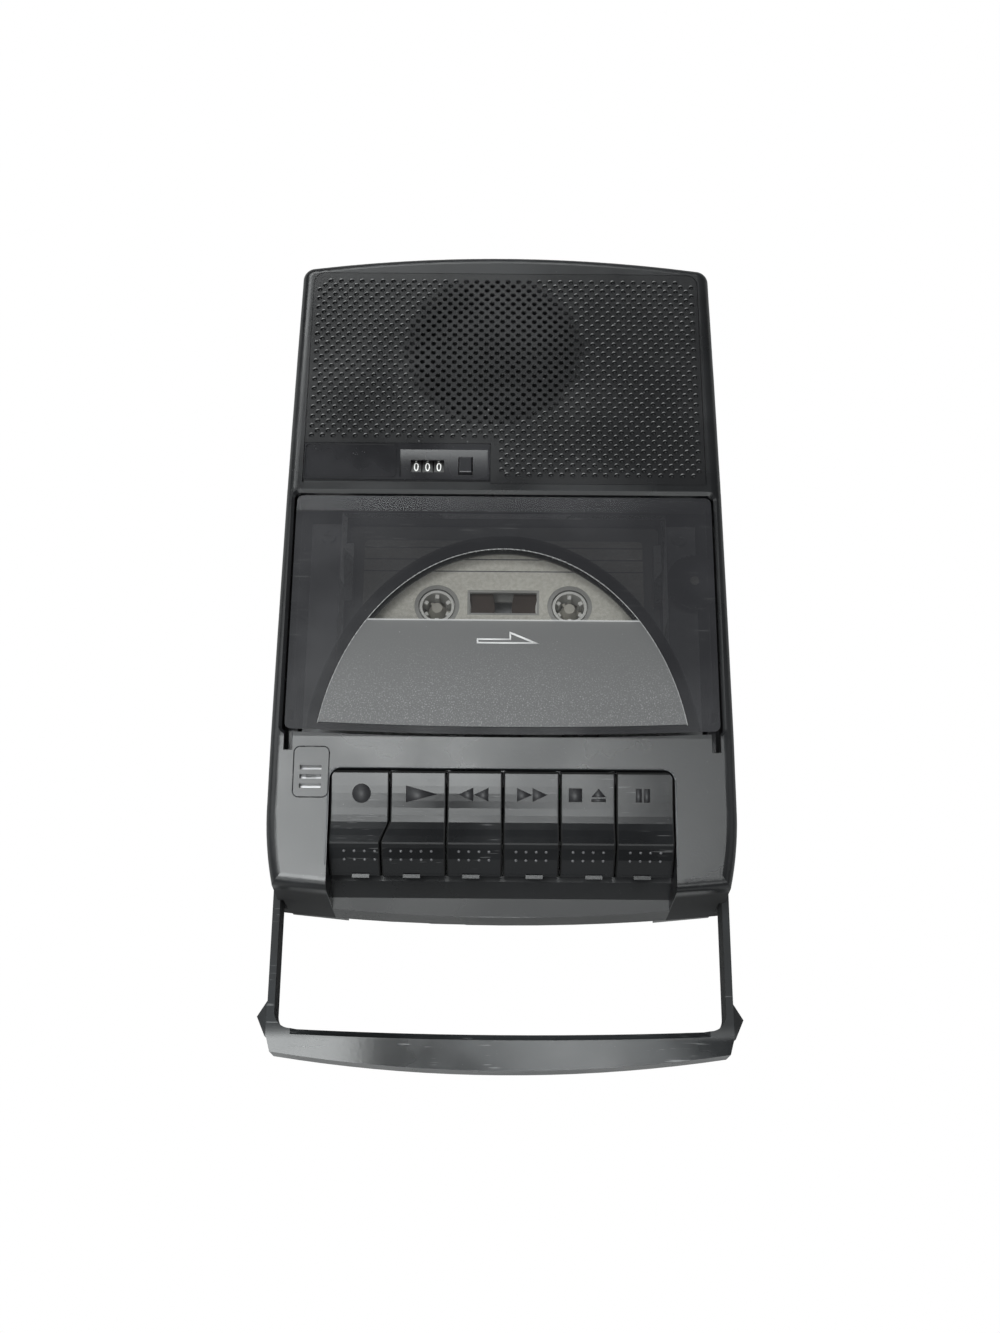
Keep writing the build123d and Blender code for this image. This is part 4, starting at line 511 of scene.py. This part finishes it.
def make_materials():
    """All finishes, by the record's material slot."""
    settings = bpy.context.scene.recorder_finish
    make_grain_group()
    make_dust_group()
    make_scratch_group()
    return {
        "case_plastic": make_case_material(settings),
        "grille_plastic": make_grille_material(settings),
        "trim_plastic": plastic("trim_satin", (0.014, 0.014, 0.016), 0.24, 1100.0, 0.12, 0.3),
        "key_plastic": make_key_material(settings),
        "handle_plastic": make_handle_material(settings),
        "smoked_plastic": make_lid_material(settings),
        "window_plastic": make_window_material(settings),
        "cassette_plastic": plastic("cassette_shell_grey", (0.30, 0.295, 0.28), 0.45, 800.0, 0.1, 0.1),
        "label_paper": make_label_material(),
        "reel_plastic": plastic("reel_white", (0.62, 0.61, 0.58), 0.4, 700.0, 0.08, 0.1, spread=0.08),
        "tape": plastic("tape_brown", (0.035, 0.02, 0.014), 0.3, 500.0, 0.1, 0.0),
        "digit_plastic": plastic("wheel_black", (0.008, 0.008, 0.008), 0.5, 900.0, 0.1, 0.1),
        "steel": metal("dull_steel", (0.42, 0.42, 0.43), 0.38),
        "plated_steel": metal("bright_steel", (0.68, 0.68, 0.69), 0.2),
        "brass": metal("turned_brass", (0.58, 0.42, 0.17), 0.3),
        "rubber": plastic("black_rubber", (0.014, 0.014, 0.014), 0.75, 1200.0, 0.4, 0.4),
        "foot_rubber": plastic("grey_foot", (0.22, 0.22, 0.22), 0.7, 1000.0, 0.3, 0.4),
        "cone_paper": plastic("cone_felt", (0.012, 0.012, 0.012), 0.85, 1600.0, 0.6, 0.3),
        "board": plastic("board_green", (0.02, 0.09, 0.035), 0.35, 700.0, 0.1, 0.2),
        "cell_jacket": plastic("cell_sleeve", (0.4, 0.27, 0.05), 0.25, 600.0, 0.05, 0.1),
        "mechanism_plastic": plastic("mechanism_cream", (0.42, 0.4, 0.35), 0.45, 900.0, 0.1, 0.2),
    }


def ink(name, colour, roughness=0.5):
    """Printed or moulded mark with a slightly uneven tone."""
    return plastic(name, colour, roughness, 1600.0, 0.05, 0.1, spread=0.15)


def finish_piece(name, mesh, material, body, nodes=(), smooth=40.0):
    """Makes an object of a mesh, gives it its finish and lets it ride on its body."""
    if not mesh.materials:
        mesh.materials.append(material)
    for face in mesh.polygons:
        face.use_smooth = True
    piece = bpy.data.objects.new(name, mesh)
    bpy.context.scene.collection.objects.link(piece)
    if smooth:
        mesh.set_sharp_from_angle(angle=math.radians(smooth))
    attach(piece, body)
    if nodes:
        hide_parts(*nodes)


def evaluated_mesh(piece, name):
    """The mesh a piece has after its modifiers, the piece itself removed."""
    graph = bpy.context.evaluated_depsgraph_get()
    mesh = bpy.data.meshes.new_from_object(piece.evaluated_get(graph))
    mesh.name = name
    bpy.data.objects.remove(piece)
    return mesh


def around(ring):
    """Neighbouring pairs round a closed row."""
    return list(zip(ring, ring[1:] + ring[:1]))


def join_loops(shape, first, second):
    """Adds quads between two matching loops of vertices."""
    for (start, end), (below, after) in zip(around(first), around(second)):
        shape.faces.new((start, below, after, end))


def close_shape(shape, name):
    """Writes an edited shape to a new mesh and frees it."""
    mesh = bpy.data.meshes.new(name)
    shape.to_mesh(mesh)
    shape.free()
    return mesh


def quarter_arc(x, y, radius, start, count):
    """Points of a quarter circle around x, y from a start angle in degrees."""
    angles = [math.radians(start + 90 * step / count) for step in range(count + 1)]
    return [(x + radius * math.cos(angle), y + radius * math.sin(angle)) for angle in angles]


# ---- speaker end ----
def grille_height(y):
    """Height of the speaker end's surface at y."""
    return TOP_Z - (y - EDGE_Y) * GRILLE_SLOPE


def tile_mesh(name, pitch, radius, depth, through):
    """One brick of the grille around one hole, top face at zero height."""
    half_x, half_y = pitch / 2, pitch / 4
    outline = [(-half_x, -half_y), (0.0, -half_y), (half_x, -half_y),
               (half_x, half_y), (0.0, half_y), (-half_x, half_y)]
    shape = bmesh.new()
    painted_glint = shape.faces.layers.float.new("lip_wear")
    rings = [(radius + LIP, 0.0), (radius, -LIP)]
    rings.append((radius, -PANEL_THICKNESS) if through else (radius * BLIND_TAPER, -depth))
    turns = [2 * math.pi * (step + 0.5) / HOLE_SIDES for step in range(HOLE_SIDES)]
    loops = [[shape.verts.new((ring_radius * math.cos(turn), ring_radius * math.sin(turn), height))
              for turn in turns] for ring_radius, height in rings]
    for upper, lower in zip(loops, loops[1:]):
        for step in range(HOLE_SIDES):
            following = (step + 1) % HOLE_SIDES
            face = shape.faces.new((upper[step], upper[following], lower[following], lower[step]))
            away = 2 * math.pi * (step + 1) / HOLE_SIDES - LIP_GLINT_SIDE
            # The lip faces of the blind holes get a painted highlight, strongest towards one side.
            if upper is loops[0] and not through:
                face[painted_glint] = max(0.0, math.cos(away)) ** LIP_GLINT_FOCUS
    if not through:
        shape.faces.new(loops[-1])
    for height, ring in ((0.0, loops[0]), (-PANEL_THICKNESS, loops[-1] if through else None)):
        corners = [shape.verts.new((x, y, height)) for x, y in outline]
        edges = [shape.edges.new(pair) for pair in around(corners)]
        if ring:
            edges += [shape.edges.get(pair) for pair in around(ring)]
            bmesh.ops.triangle_fill(shape, use_beauty=True, use_dissolve=False, edges=edges)
        else:
            shape.faces.new(corners[::-1])
    bmesh.ops.recalc_face_normals(shape, faces=shape.faces)
    top = [face for face in shape.faces if all(abs(v.co.z) < 1e-9 for v in face.verts)]
    if top and top[0].normal.z < 0:
        bmesh.ops.reverse_faces(shape, faces=shape.faces)
    return close_shape(shape, name)


def lattice_tree():
    """Puts a brick on every point of a mesh, open ones near a centre and blind ones beyond."""
    tree = bpy.data.node_groups.new("grille_lattice", "GeometryNodeTree")
    for name, kind in (("Points", "Geometry"), ("Open brick", "Object"), ("Blind brick", "Object"),
                       ("Centre", "Vector"), ("Open radius", "Float"), ("Material", "Material")):
        tree.interface.new_socket(name, in_out="INPUT", socket_type="NodeSocket" + kind)
    tree.interface.new_socket("Mesh", in_out="OUTPUT", socket_type="NodeSocketGeometry")
    given = tree.nodes.new("NodeGroupInput")
    out = tree.nodes.new("NodeGroupOutput")
    distance = new_node(tree, "ShaderNodeVectorMath", operation="DISTANCE")
    tree.links.new(tree.nodes.new("GeometryNodeInputPosition").outputs[0], distance.inputs[0])
    tree.links.new(given.outputs["Centre"], distance.inputs[1])
    inside = new_node(tree, "FunctionNodeCompare", operation="LESS_THAN")
    tree.links.new(distance.outputs["Value"], inside.inputs[0])
    tree.links.new(given.outputs["Open radius"], inside.inputs[1])
    outside = new_node(tree, "FunctionNodeBooleanMath", operation="NOT", Boolean=inside.outputs[0])
    join = tree.nodes.new("GeometryNodeJoinGeometry")
    for socket, chosen in (("Open brick", inside.outputs[0]), ("Blind brick", outside.outputs[0])):
        brick = new_node(tree, "GeometryNodeObjectInfo", Object=given.outputs[socket])
        scatter = new_node(tree, "GeometryNodeInstanceOnPoints", Points=given.outputs["Points"],
                           Selection=chosen, Instance=brick.outputs["Geometry"])
        feed(tree, join, Geometry=scatter.outputs["Instances"])
    real = new_node(tree, "GeometryNodeRealizeInstances", Geometry=join.outputs[0])
    paint = new_node(tree, "GeometryNodeSetMaterial", Geometry=real.outputs[0],
                     Material=given.outputs["Material"])
    feed(tree, out, Mesh=paint.outputs[0])
    return tree


def run_tree(tree, host, values):
    """Gives a piece the tree with its input values and returns the mesh it makes."""
    modifier = host.modifiers.new("nodes", "NODES")
    modifier.node_group = tree
    for item in tree.interface.items_tree:
        if item.item_type == "SOCKET" and item.in_out == "INPUT" and item.name in values:
            modifier[item.identifier] = values[item.name]
    bpy.context.view_layer.update()
    return evaluated_mesh(host, tree.name)


def grille_points(pitch, low, high, counter):
    """Centres of the bricks inside the panel's field, none beside or over the counter."""
    points = []
    rows = int((high.y - low.y - FIELD_MARGIN[1]) / (pitch / 2))
    columns = int((high.x - low.x - FIELD_MARGIN[0]) / pitch)
    first_y = (low.y + high.y) / 2 - (rows - 1) * pitch / 4
    for row in range(rows):
        shift = pitch / 4 if row % 2 else -pitch / 4
        for column in range(columns):
            x = (column - (columns - 1) / 2) * pitch + shift
            y = first_y + row * pitch / 2
            near_counter = (x - pitch / 2 < counter.x + COUNTER_MARGIN
                            and y - pitch / 4 < counter.y + COUNTER_MARGIN)
            to_side = high.x - x if x > 0 else x - low.x
            if not near_counter and not (to_side < PANEL_CORNER and high.y - y < PANEL_CORNER):
                points.append((x, y, 0.0))
    return points


class RECORDER_OT_grille(bpy.types.Operator):
    """Perforated panel over the speaker, open over the cone and blind around it"""

    bl_idname = "recorder.grille"
    bl_label = "Speaker panel"

    def execute(self, context):
        settings = context.scene.recorder_grille
        low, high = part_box("grille_panel")
        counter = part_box("counter_bezel")[1]
        points = bpy.data.meshes.new("grille_points")
        points.from_pydata(grille_points(settings.pitch, low, high, counter), [], [])
        host = bpy.data.objects.new("grille_host", points)
        context.scene.collection.objects.link(host)
        bricks = {}
        for label, through in (("Open brick", True), ("Blind brick", False)):
            mesh = tile_mesh(label, settings.pitch, settings.hole, settings.depth, through)
            bricks[label] = bpy.data.objects.new(label, mesh)
            context.scene.collection.objects.link(bricks[label])
        material = MATERIALS["grille_plastic"]
        mesh = run_tree(lattice_tree(), host, {**bricks, "Centre": (*SPEAKER, 0.0), "Material": material,
                                               "Open radius": settings.speaker})
        for brick in bricks.values():
            bpy.data.objects.remove(brick)
        self.add_border(mesh, low, high, counter)
        mesh.materials.clear()
        for vertex in mesh.vertices:
            vertex.co.z += grille_height(vertex.co.y)
        finish_piece("speaker_panel", mesh, material, "case", ["grille_panel"])
        return {"FINISHED"}

    def add_border(self, mesh, low, high, counter):
        """Fills the panel between the bricks and its outline, with a closed rim."""
        step_x, step_y = counter.x + COUNTER_GAP, counter.y + COUNTER_GAP
        outline = [(low.x, step_y), (step_x, step_y), (step_x, low.y), (high.x, low.y)]
        for x, start in ((high.x - PANEL_CORNER, 0), (low.x + PANEL_CORNER, 90)):
            outline += quarter_arc(x, high.y - PANEL_CORNER, PANEL_CORNER, start, 6)
        shape = bmesh.new()
        shape.from_mesh(mesh)
        bmesh.ops.remove_doubles(shape, verts=shape.verts, dist=0.00002)
        rims = []
        for height in (0.0, -PANEL_THICKNESS):
            edges = [edge for edge in shape.edges if edge.is_boundary
                     and all(abs(vertex.co.z - height) < 1e-6 for vertex in edge.verts)]
            ring = [shape.verts.new((x, y, height)) for x, y in outline]
            edges += [shape.edges.new(pair) for pair in around(ring)]
            made = bmesh.ops.triangle_fill(shape, use_beauty=True, use_dissolve=False, edges=edges)
            for face in made["geom"]:
                if isinstance(face, bmesh.types.BMFace):
                    face.normal_update()
                    if (face.normal.z > 0) != (height == 0.0):
                        face.normal_flip()
            rims.append(ring)
        join_loops(shape, *rims)
        shape.to_mesh(mesh)
        shape.free()


# ---- raised and printed marks ----
def key_height(y):
    """Height of a key's top at y."""
    if y >= KEY_RIDGE * MM:
        share = max(0.0, (KEY_REAR * MM - y) / ((KEY_REAR - KEY_RIDGE) * MM))
        return (KEY_TOP - KEY_DIP * share + KEY_RISE * share ** KEY_CURVE) * MM
    for (rear, rear_z), (front, front_z) in zip(KEY_FRONT, KEY_FRONT[1:]):
        if y >= front * MM:
            share = (rear * MM - y) / ((rear - front) * MM)
            return (rear_z + share * (front_z - rear_z)) * MM
    return KEY_FRONT[-1][1] * MM


def deck_height(y):
    """Height of the key deck's surface at y."""
    return TOP_Z - (DECK_REAR * MM - y) * DECK_SLOPE


def disc(x, y, radius, count=24):
    """Corner points of a round mark, millimetres."""
    turns = [2 * math.pi * i / count for i in range(count)]
    return [(x + radius * math.cos(turn), y + radius * math.sin(turn)) for turn in turns]


def oblong(low_x, high_x, low_y, high_y):
    """Corner points of a straight-sided mark, millimetres."""
    return [(low_x, low_y), (high_x, low_y), (high_x, high_y), (low_x, high_y)]


def soft_frame(low_x, high_x, low_y, high_y, radius, inset=0.0):
    """Corner points of a mark with rounded corners, drawn in by an inset, millimetres."""
    corners = ((high_x - radius, high_y - radius, 0), (low_x + radius, high_y - radius, 90),
               (low_x + radius, low_y + radius, 180), (high_x - radius, low_y + radius, 270))
    return [point for x, y, start in corners
            for point in quarter_arc(x, y, radius - inset, start, 5)]


def outline_ring(outer, inner):
    """Quads between two matching loops of points."""
    return [[start, end, inside, behind]
            for (start, end), (behind, inside) in zip(around(outer), around(inner))]


def strip(first, second):
    """Quads between two matching rows of points."""
    return [[first[i], second[i], second[i + 1], first[i + 1]] for i in range(len(first) - 1)]


def raised_mesh(name, polygons, height, rise, sink=0.0002):
    """Flat marks on a surface given by height(y), standing up by rise, points in millimetres."""
    shape = bmesh.new()
    for polygon in polygons:
        points = [(x * MM, y * MM) for x, y in polygon]
        top = [shape.verts.new((x, y, height(y) + rise)) for x, y in points]
        base = [shape.verts.new((x, y, height(y) - sink)) for x, y in points]
        shape.faces.new(top)
        shape.faces.new(base[::-1])
        join_loops(shape, top, base)
    bmesh.ops.recalc_face_normals(shape, faces=shape.faces)
    return close_shape(shape, name)


def dome_mesh(name, places, radius, height):
    """Small domes at places in millimetres, sunk a quarter of their radius into a surface."""
    shape = bmesh.new()
    for x, y in places:
        centre = Vector((x * MM, y * MM, height(y * MM) - radius * 0.25))
        bmesh.ops.create_icosphere(shape, subdivisions=2, radius=radius,
                                   matrix=Matrix.Translation(centre))
    return close_shape(shape, name)


KEY_MARKS = {
    "record_key": [disc(-42.7, -56.9, 2.85, 32)],
    "play_key": [[(-29.2, -54.5), (-29.2, -59.5), (-19.7, -57.0)]],
    "rewind_key": [[(-13.2, -57.0), (-8.7, -59.0), (-8.7, -55.0)],
                   [(-8.4, -57.0), (-4.1, -59.0), (-4.1, -55.0)]],
    "fast_forward_key": [[(4.6, -55.0), (4.6, -59.0), (9.1, -57.0)],
                         [(9.3, -55.0), (9.3, -59.0), (13.8, -57.0)]],
    "stop_eject_key": [oblong(20.3, 24.4, -59.0, -55.0), [(27.2, -57.5), (31.6, -57.5), (29.4, -55.0)],
                       oblong(27.2, 31.6, -58.9, -58.0)],
    "pause_key": [oblong(40.7, 42.5, -59.0, -55.0), oblong(43.2, 45.0, -59.0, -55.0)],
}
GRIP_COLUMNS = {
    "record_key": (-47.6, -44.5, -41.4, -38.3),
    "play_key": (-33.5, -30.4, -27.3, -24.3, -21.2),
    "rewind_key": (-12.9, -9.9, -6.8, -3.8),
    "fast_forward_key": (4.4, 7.4, 10.5, 13.5),
    "stop_eject_key": (21.6, 24.7, 27.7, 30.8),
    "pause_key": (38.9, 42.0, 45.0, 48.1),
}


class RECORDER_OT_keys(bpy.types.Operator):
    """Transport marks and grip dots of the six keys"""

    bl_idname = "recorder.keys"
    bl_label = "Key marks"

    def execute(self, context):
        settings = context.scene.recorder_keys
        # The dots are much lighter than the keys to stand for their glints: a painted highlight.
        dot_highlight_ink = ink("dot_polished", (0.1, 0.1, 0.105), 0.18)
        mark_ink = ink("key_mark", (0.02, 0.02, 0.022), 0.5)
        for key, marks in KEY_MARKS.items():
            mesh = raised_mesh(key + "_mark_shape", marks, key_height, settings.mark)
            finish_piece(key + "_mark", mesh, mark_ink, key + "_body", smooth=0)
            places = [(x, y) for x in GRIP_COLUMNS[key] for y in GRIP_ROWS]
            mesh = dome_mesh(key + "_dot_shape", places, settings.dot, key_height)
            finish_piece(key + "_dots", mesh, dot_highlight_ink, key + "_body")
        return {"FINISHED"}


# ---- lid, counter and deck ----
class RECORDER_OT_lid(bpy.types.Operator):
    """Bright bead along the window's arch, a painted highlight, and the arrow on its print"""

    bl_idname = "recorder.lid"
    bl_label = "Lid marks"

    def execute(self, context):
        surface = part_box("lid_window")[1].z
        white = ink("white_print", (0.72, 0.72, 0.72), 0.4)
        turns = [math.pi * step / ARCH_STEPS for step in range(ARCH_STEPS + 1)]
        arch = [(WINDOW_HALF * math.cos(turn), WINDOW_Y + WINDOW_TALL * math.sin(turn)) for turn in turns]
        outer = [(x, y) for x, y in arch if y > WINDOW_FRONT]
        inner = [(x * BEAD_ACROSS, WINDOW_Y + (y - WINDOW_Y) * BEAD_ALONG) for x, y in outer]
        # Pale bead on the arch's step: a painted highlight.
        edge = ink("edge_bright", (0.3, 0.3, 0.3), 0.25)
        mesh = raised_mesh("arch_shape", strip(outer, inner), lambda y: surface, 0.00004)
        finish_piece("arch_line", mesh, edge, "lid_body", smooth=0)
        polygons = outline_ring(ARROW_OUTER, ARROW_INNER)
        mesh = raised_mesh("arrow_shape", polygons, lambda y: surface, 0.00003, 0.00002)
        finish_piece("direction_arrow", mesh, white, "lid_body", smooth=0)
        return {"FINISHED"}


class RECORDER_OT_counter(bpy.types.Operator):
    """White digits around the three counter wheels"""

    bl_idname = "recorder.counter"
    bl_label = "Counter digits"

    def execute(self, context):
        white = ink("digit_white", (0.8, 0.8, 0.78), 0.5)
        for wheel in ("units_wheel", "tens_wheel", "hundreds_wheel"):
            low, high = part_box("counter_" + wheel)
            centre = (low + high) / 2
            centre.x = low.x + DIGIT_X
            radius = (high.z - low.z) / 2
            shape = bmesh.new()
            for digit in range(10):
                self.add_digit(shape, digit, centre, radius)
            mesh = close_shape(shape, wheel + "_digit_shape")
            finish_piece(wheel + "_digits", mesh, white, wheel, smooth=0)
        return {"FINISHED"}

    def add_digit(self, shape, digit, centre, radius):
        """One digit wrapped round the wheel, zero on top at rest."""
        text = bpy.data.curves.new("digit", "FONT")
        text.body = str(digit)
        text.size = DIGIT_SIZE
        text.align_x = text.align_y = "CENTER"
        text.resolution_u = 3
        writing = bpy.data.objects.new("digit", text)
        bpy.context.scene.collection.objects.link(writing)
        bpy.context.view_layer.update()
        mesh = evaluated_mesh(writing, "digit")
        bpy.data.curves.remove(text)
        part = bmesh.new()
        part.from_mesh(mesh)
        bpy.data.meshes.remove(mesh)
        bmesh.ops.subdivide_edges(part, edges=part.edges, cuts=1)
        bmesh.ops.triangulate(part, faces=part.faces)
        reach = radius + DIGIT_RISE
        for vertex in part.verts:
            angle = vertex.co.y / radius - digit * math.radians(36.0)
            vertex.co = Vector((centre.x + vertex.co.x * DIGIT_WIDTH,
                                centre.y + reach * math.sin(angle),
                                centre.z + reach * math.cos(angle)))
        copy = close_shape(part, "digit_copy")
        shape.from_mesh(copy)
        bpy.data.meshes.remove(copy)


class RECORDER_OT_deck(bpy.types.Operator):
    """Thin frame around the microphone slots and a painted highlight line along the edge of the key well
    """

    bl_idname = "recorder.deck"
    bl_label = "Deck frame"

    def execute(self, context):
        ring = outline_ring(soft_frame(*FRAME, FRAME_CORNER),
                            soft_frame(*FRAME, FRAME_CORNER, FRAME_LINE))
        mesh = raised_mesh("frame_shape", ring, deck_height, 0.00004, 0.00008)
        finish_piece("microphone_frame", mesh, MATERIALS["trim_plastic"], "case",
                     smooth=0)
        # A pale line along the well's rounded edge: a painted highlight.
        painted_glint = ink("edge_worn", (0.10, 0.105, 0.11), 0.22)
        straight, middle = WELL_HALF - WELL_CORNER, WELL_REAR - WELL_CORNER
        right = [(straight + WELL_CORNER * math.sin(turn), middle + WELL_CORNER * math.cos(turn))
                 for turn in map(math.radians, WELL_TURNS)] + [(WELL_HALF, WELL_FRONT)]
        well = [(-x, y) for x, y in reversed(right)] + right
        wide = [(x * GLINT_SPREAD, y + GLINT_WIDTH if y > WELL_FRONT else y) for x, y in well]
        mesh = raised_mesh("well_edge_shape", strip(well, wide), deck_height, 0.00004, 0.00008)
        finish_piece("well_edge", mesh, painted_glint, "case", smooth=0)
        return {"FINISHED"}


class RECORDER_OT_finishes(bpy.types.Operator):
    """Gives every carried-over part its finish, by its material slot in the record"""

    bl_idname = "recorder.finishes"
    bl_label = "Finishes"

    def execute(self, context):
        MATERIALS.update(make_materials())
        slots = {part["node"]: part["material_slot"] for part in frame["record"]["subparts"]}
        for name, node in NODES.items():
            finish = MATERIALS[slots[name]]
            if not node.material_slots:
                node.data.materials.append(finish)
            for held in node.material_slots:
                held.material = finish
        return {"FINISHED"}


# ---- camera, floor and lamps ----
class RECORDER_OT_stage(bpy.types.Operator):
    """Camera, white floor and soft studio lamps"""

    bl_idname = "recorder.stage"
    bl_label = "Studio"

    def execute(self, context):
        settings = context.scene.recorder_stage
        data = bpy.data.cameras.new("camera")
        data.lens = settings.lens
        data.sensor_width = SENSOR
        camera = bpy.data.objects.new("camera", data)
        camera.matrix_world = (Matrix.Translation((CAMERA_X, -settings.back, settings.height))
                               @ Matrix.Rotation(settings.tilt, 4, "X")
                               @ Matrix.Rotation(CAMERA_ROLL, 4, "Z"))
        context.scene.collection.objects.link(camera)
        context.scene.camera = camera
        self.add_floor(context)
        self.add_card(context)
        self.add_world(context)
        self.add_lamp(context, *KEY_LAMP, settings.key_power)
        for lamp in FILL_LAMPS:
            self.add_lamp(context, *lamp)
        context.scene.view_settings.view_transform = "Standard"
        return {"FINISHED"}

    def add_lamp(self, context, name, place, target, size, power):
        """A soft rectangular lamp facing a target."""
        data = bpy.data.lights.new(name, "AREA")
        data.shape = "RECTANGLE"
        data.size, data.size_y = size
        data.energy = power
        data.color = LAMP_COLOUR
        lamp = bpy.data.objects.new(name, data)
        lamp.location = place
        aim = Vector(target) - Vector(place)
        lamp.rotation_euler = aim.to_track_quat("-Z", "Y").to_euler()
        context.scene.collection.objects.link(lamp)

    def add_sheet(self, context, name, low_x, high_x, low_y, high_y, height, material):
        """A flat rectangle of the studio."""
        mesh = bpy.data.meshes.new(name + "_shape")
        corners = [(x, y, height) for x, y in oblong(low_x, high_x, low_y, high_y)]
        mesh.from_pydata(corners, [], [(0, 1, 2, 3)])
        mesh.materials.append(material)
        sheet = bpy.data.objects.new(name, mesh)
        context.scene.collection.objects.link(sheet)
        return sheet

    def add_floor(self, context):
        """A wide floor, seen pure white and lit softly."""
        material, tree, shader = bare_material("floor_white")
        feed(tree, shader, Base_Color=(0.3, 0.3, 0.3, 1.0), Roughness=0.9)
        glow = new_node(tree, "ShaderNodeEmission", Color=(1.0, 1.0, 1.0, 1.0), Strength=1.0)
        mix = new_node(tree, "ShaderNodeMixShader", Fac=seen_straight(tree))
        tree.links.new(shader.outputs[0], mix.inputs[1])
        tree.links.new(glow.outputs[0], mix.inputs[2])
        feed(tree, tree.nodes["Material Output"], Surface=mix.outputs[0])
        floor = self.add_sheet(context, "floor", *FLOOR, material)

    def add_card(self, context):
        """A black card over the camera, which darkens the reflection in the lid."""
        material, tree, shader = bare_material("card_black")
        feed(tree, shader, Base_Color=(0.01, 0.01, 0.01, 1.0))
        card = self.add_sheet(context, "shade_card", *CARD, material)

    def add_world(self, context):
        """A world seen white, which lights the scene only a little."""
        world = bpy.data.worlds.new("world")
        world.use_nodes = True
        tree = world.node_tree
        strength = plus(tree, times(tree, seen_straight(tree), 1.0 - WORLD_LIGHT), WORLD_LIGHT)
        feed(tree, tree.nodes["Background"], Color=(1.0, 1.0, 1.0, 1.0), Strength=strength)
        context.scene.world = world


class RECORDER_PT_panel(bpy.types.Panel):
    """Lists the recorder's operators and settings in the sidebar"""

    bl_label = "Recorder"
    bl_idname = "RECORDER_PT_panel"
    bl_space_type = "VIEW_3D"
    bl_region_type = "UI"
    bl_category = "Recorder"

    def draw(self, context):
        for operator in OPERATORS:
            self.layout.operator(operator.bl_idname)
        for name in GROUPS:
            group = getattr(context.scene, name)
            box = self.layout.box()
            for setting in group.__annotations__:
                box.prop(group, setting)


OPERATORS = (RECORDER_OT_finishes, RECORDER_OT_grille, RECORDER_OT_keys, RECORDER_OT_lid,
             RECORDER_OT_counter, RECORDER_OT_deck, RECORDER_OT_stage)
GROUPS = {"recorder_grille": GrilleSettings, "recorder_keys": KeySettings,
          "recorder_finish": FinishSettings, "recorder_stage": StageSettings}


def register():
    """Registers the settings, operators and panel."""
    for name, group in GROUPS.items():
        bpy.utils.register_class(group)
        setattr(bpy.types.Scene, name, PointerProperty(type=group))
    for operator in OPERATORS:
        bpy.utils.register_class(operator)
    bpy.utils.register_class(RECORDER_PT_panel)


def unregister():
    """Takes everything out again."""
    bpy.utils.unregister_class(RECORDER_PT_panel)
    for operator in reversed(OPERATORS):
        bpy.utils.unregister_class(operator)
    for name, group in GROUPS.items():
        delattr(bpy.types.Scene, name)
        bpy.utils.unregister_class(group)


def main():
    """Builds the whole scene."""
    register()
    bpy.ops.recorder.finishes()
    bpy.ops.recorder.grille()
    bpy.ops.recorder.keys()
    bpy.ops.recorder.lid()
    bpy.ops.recorder.counter()
    bpy.ops.recorder.deck()
    bpy.ops.recorder.stage()


if __name__ == "__main__":
    main()
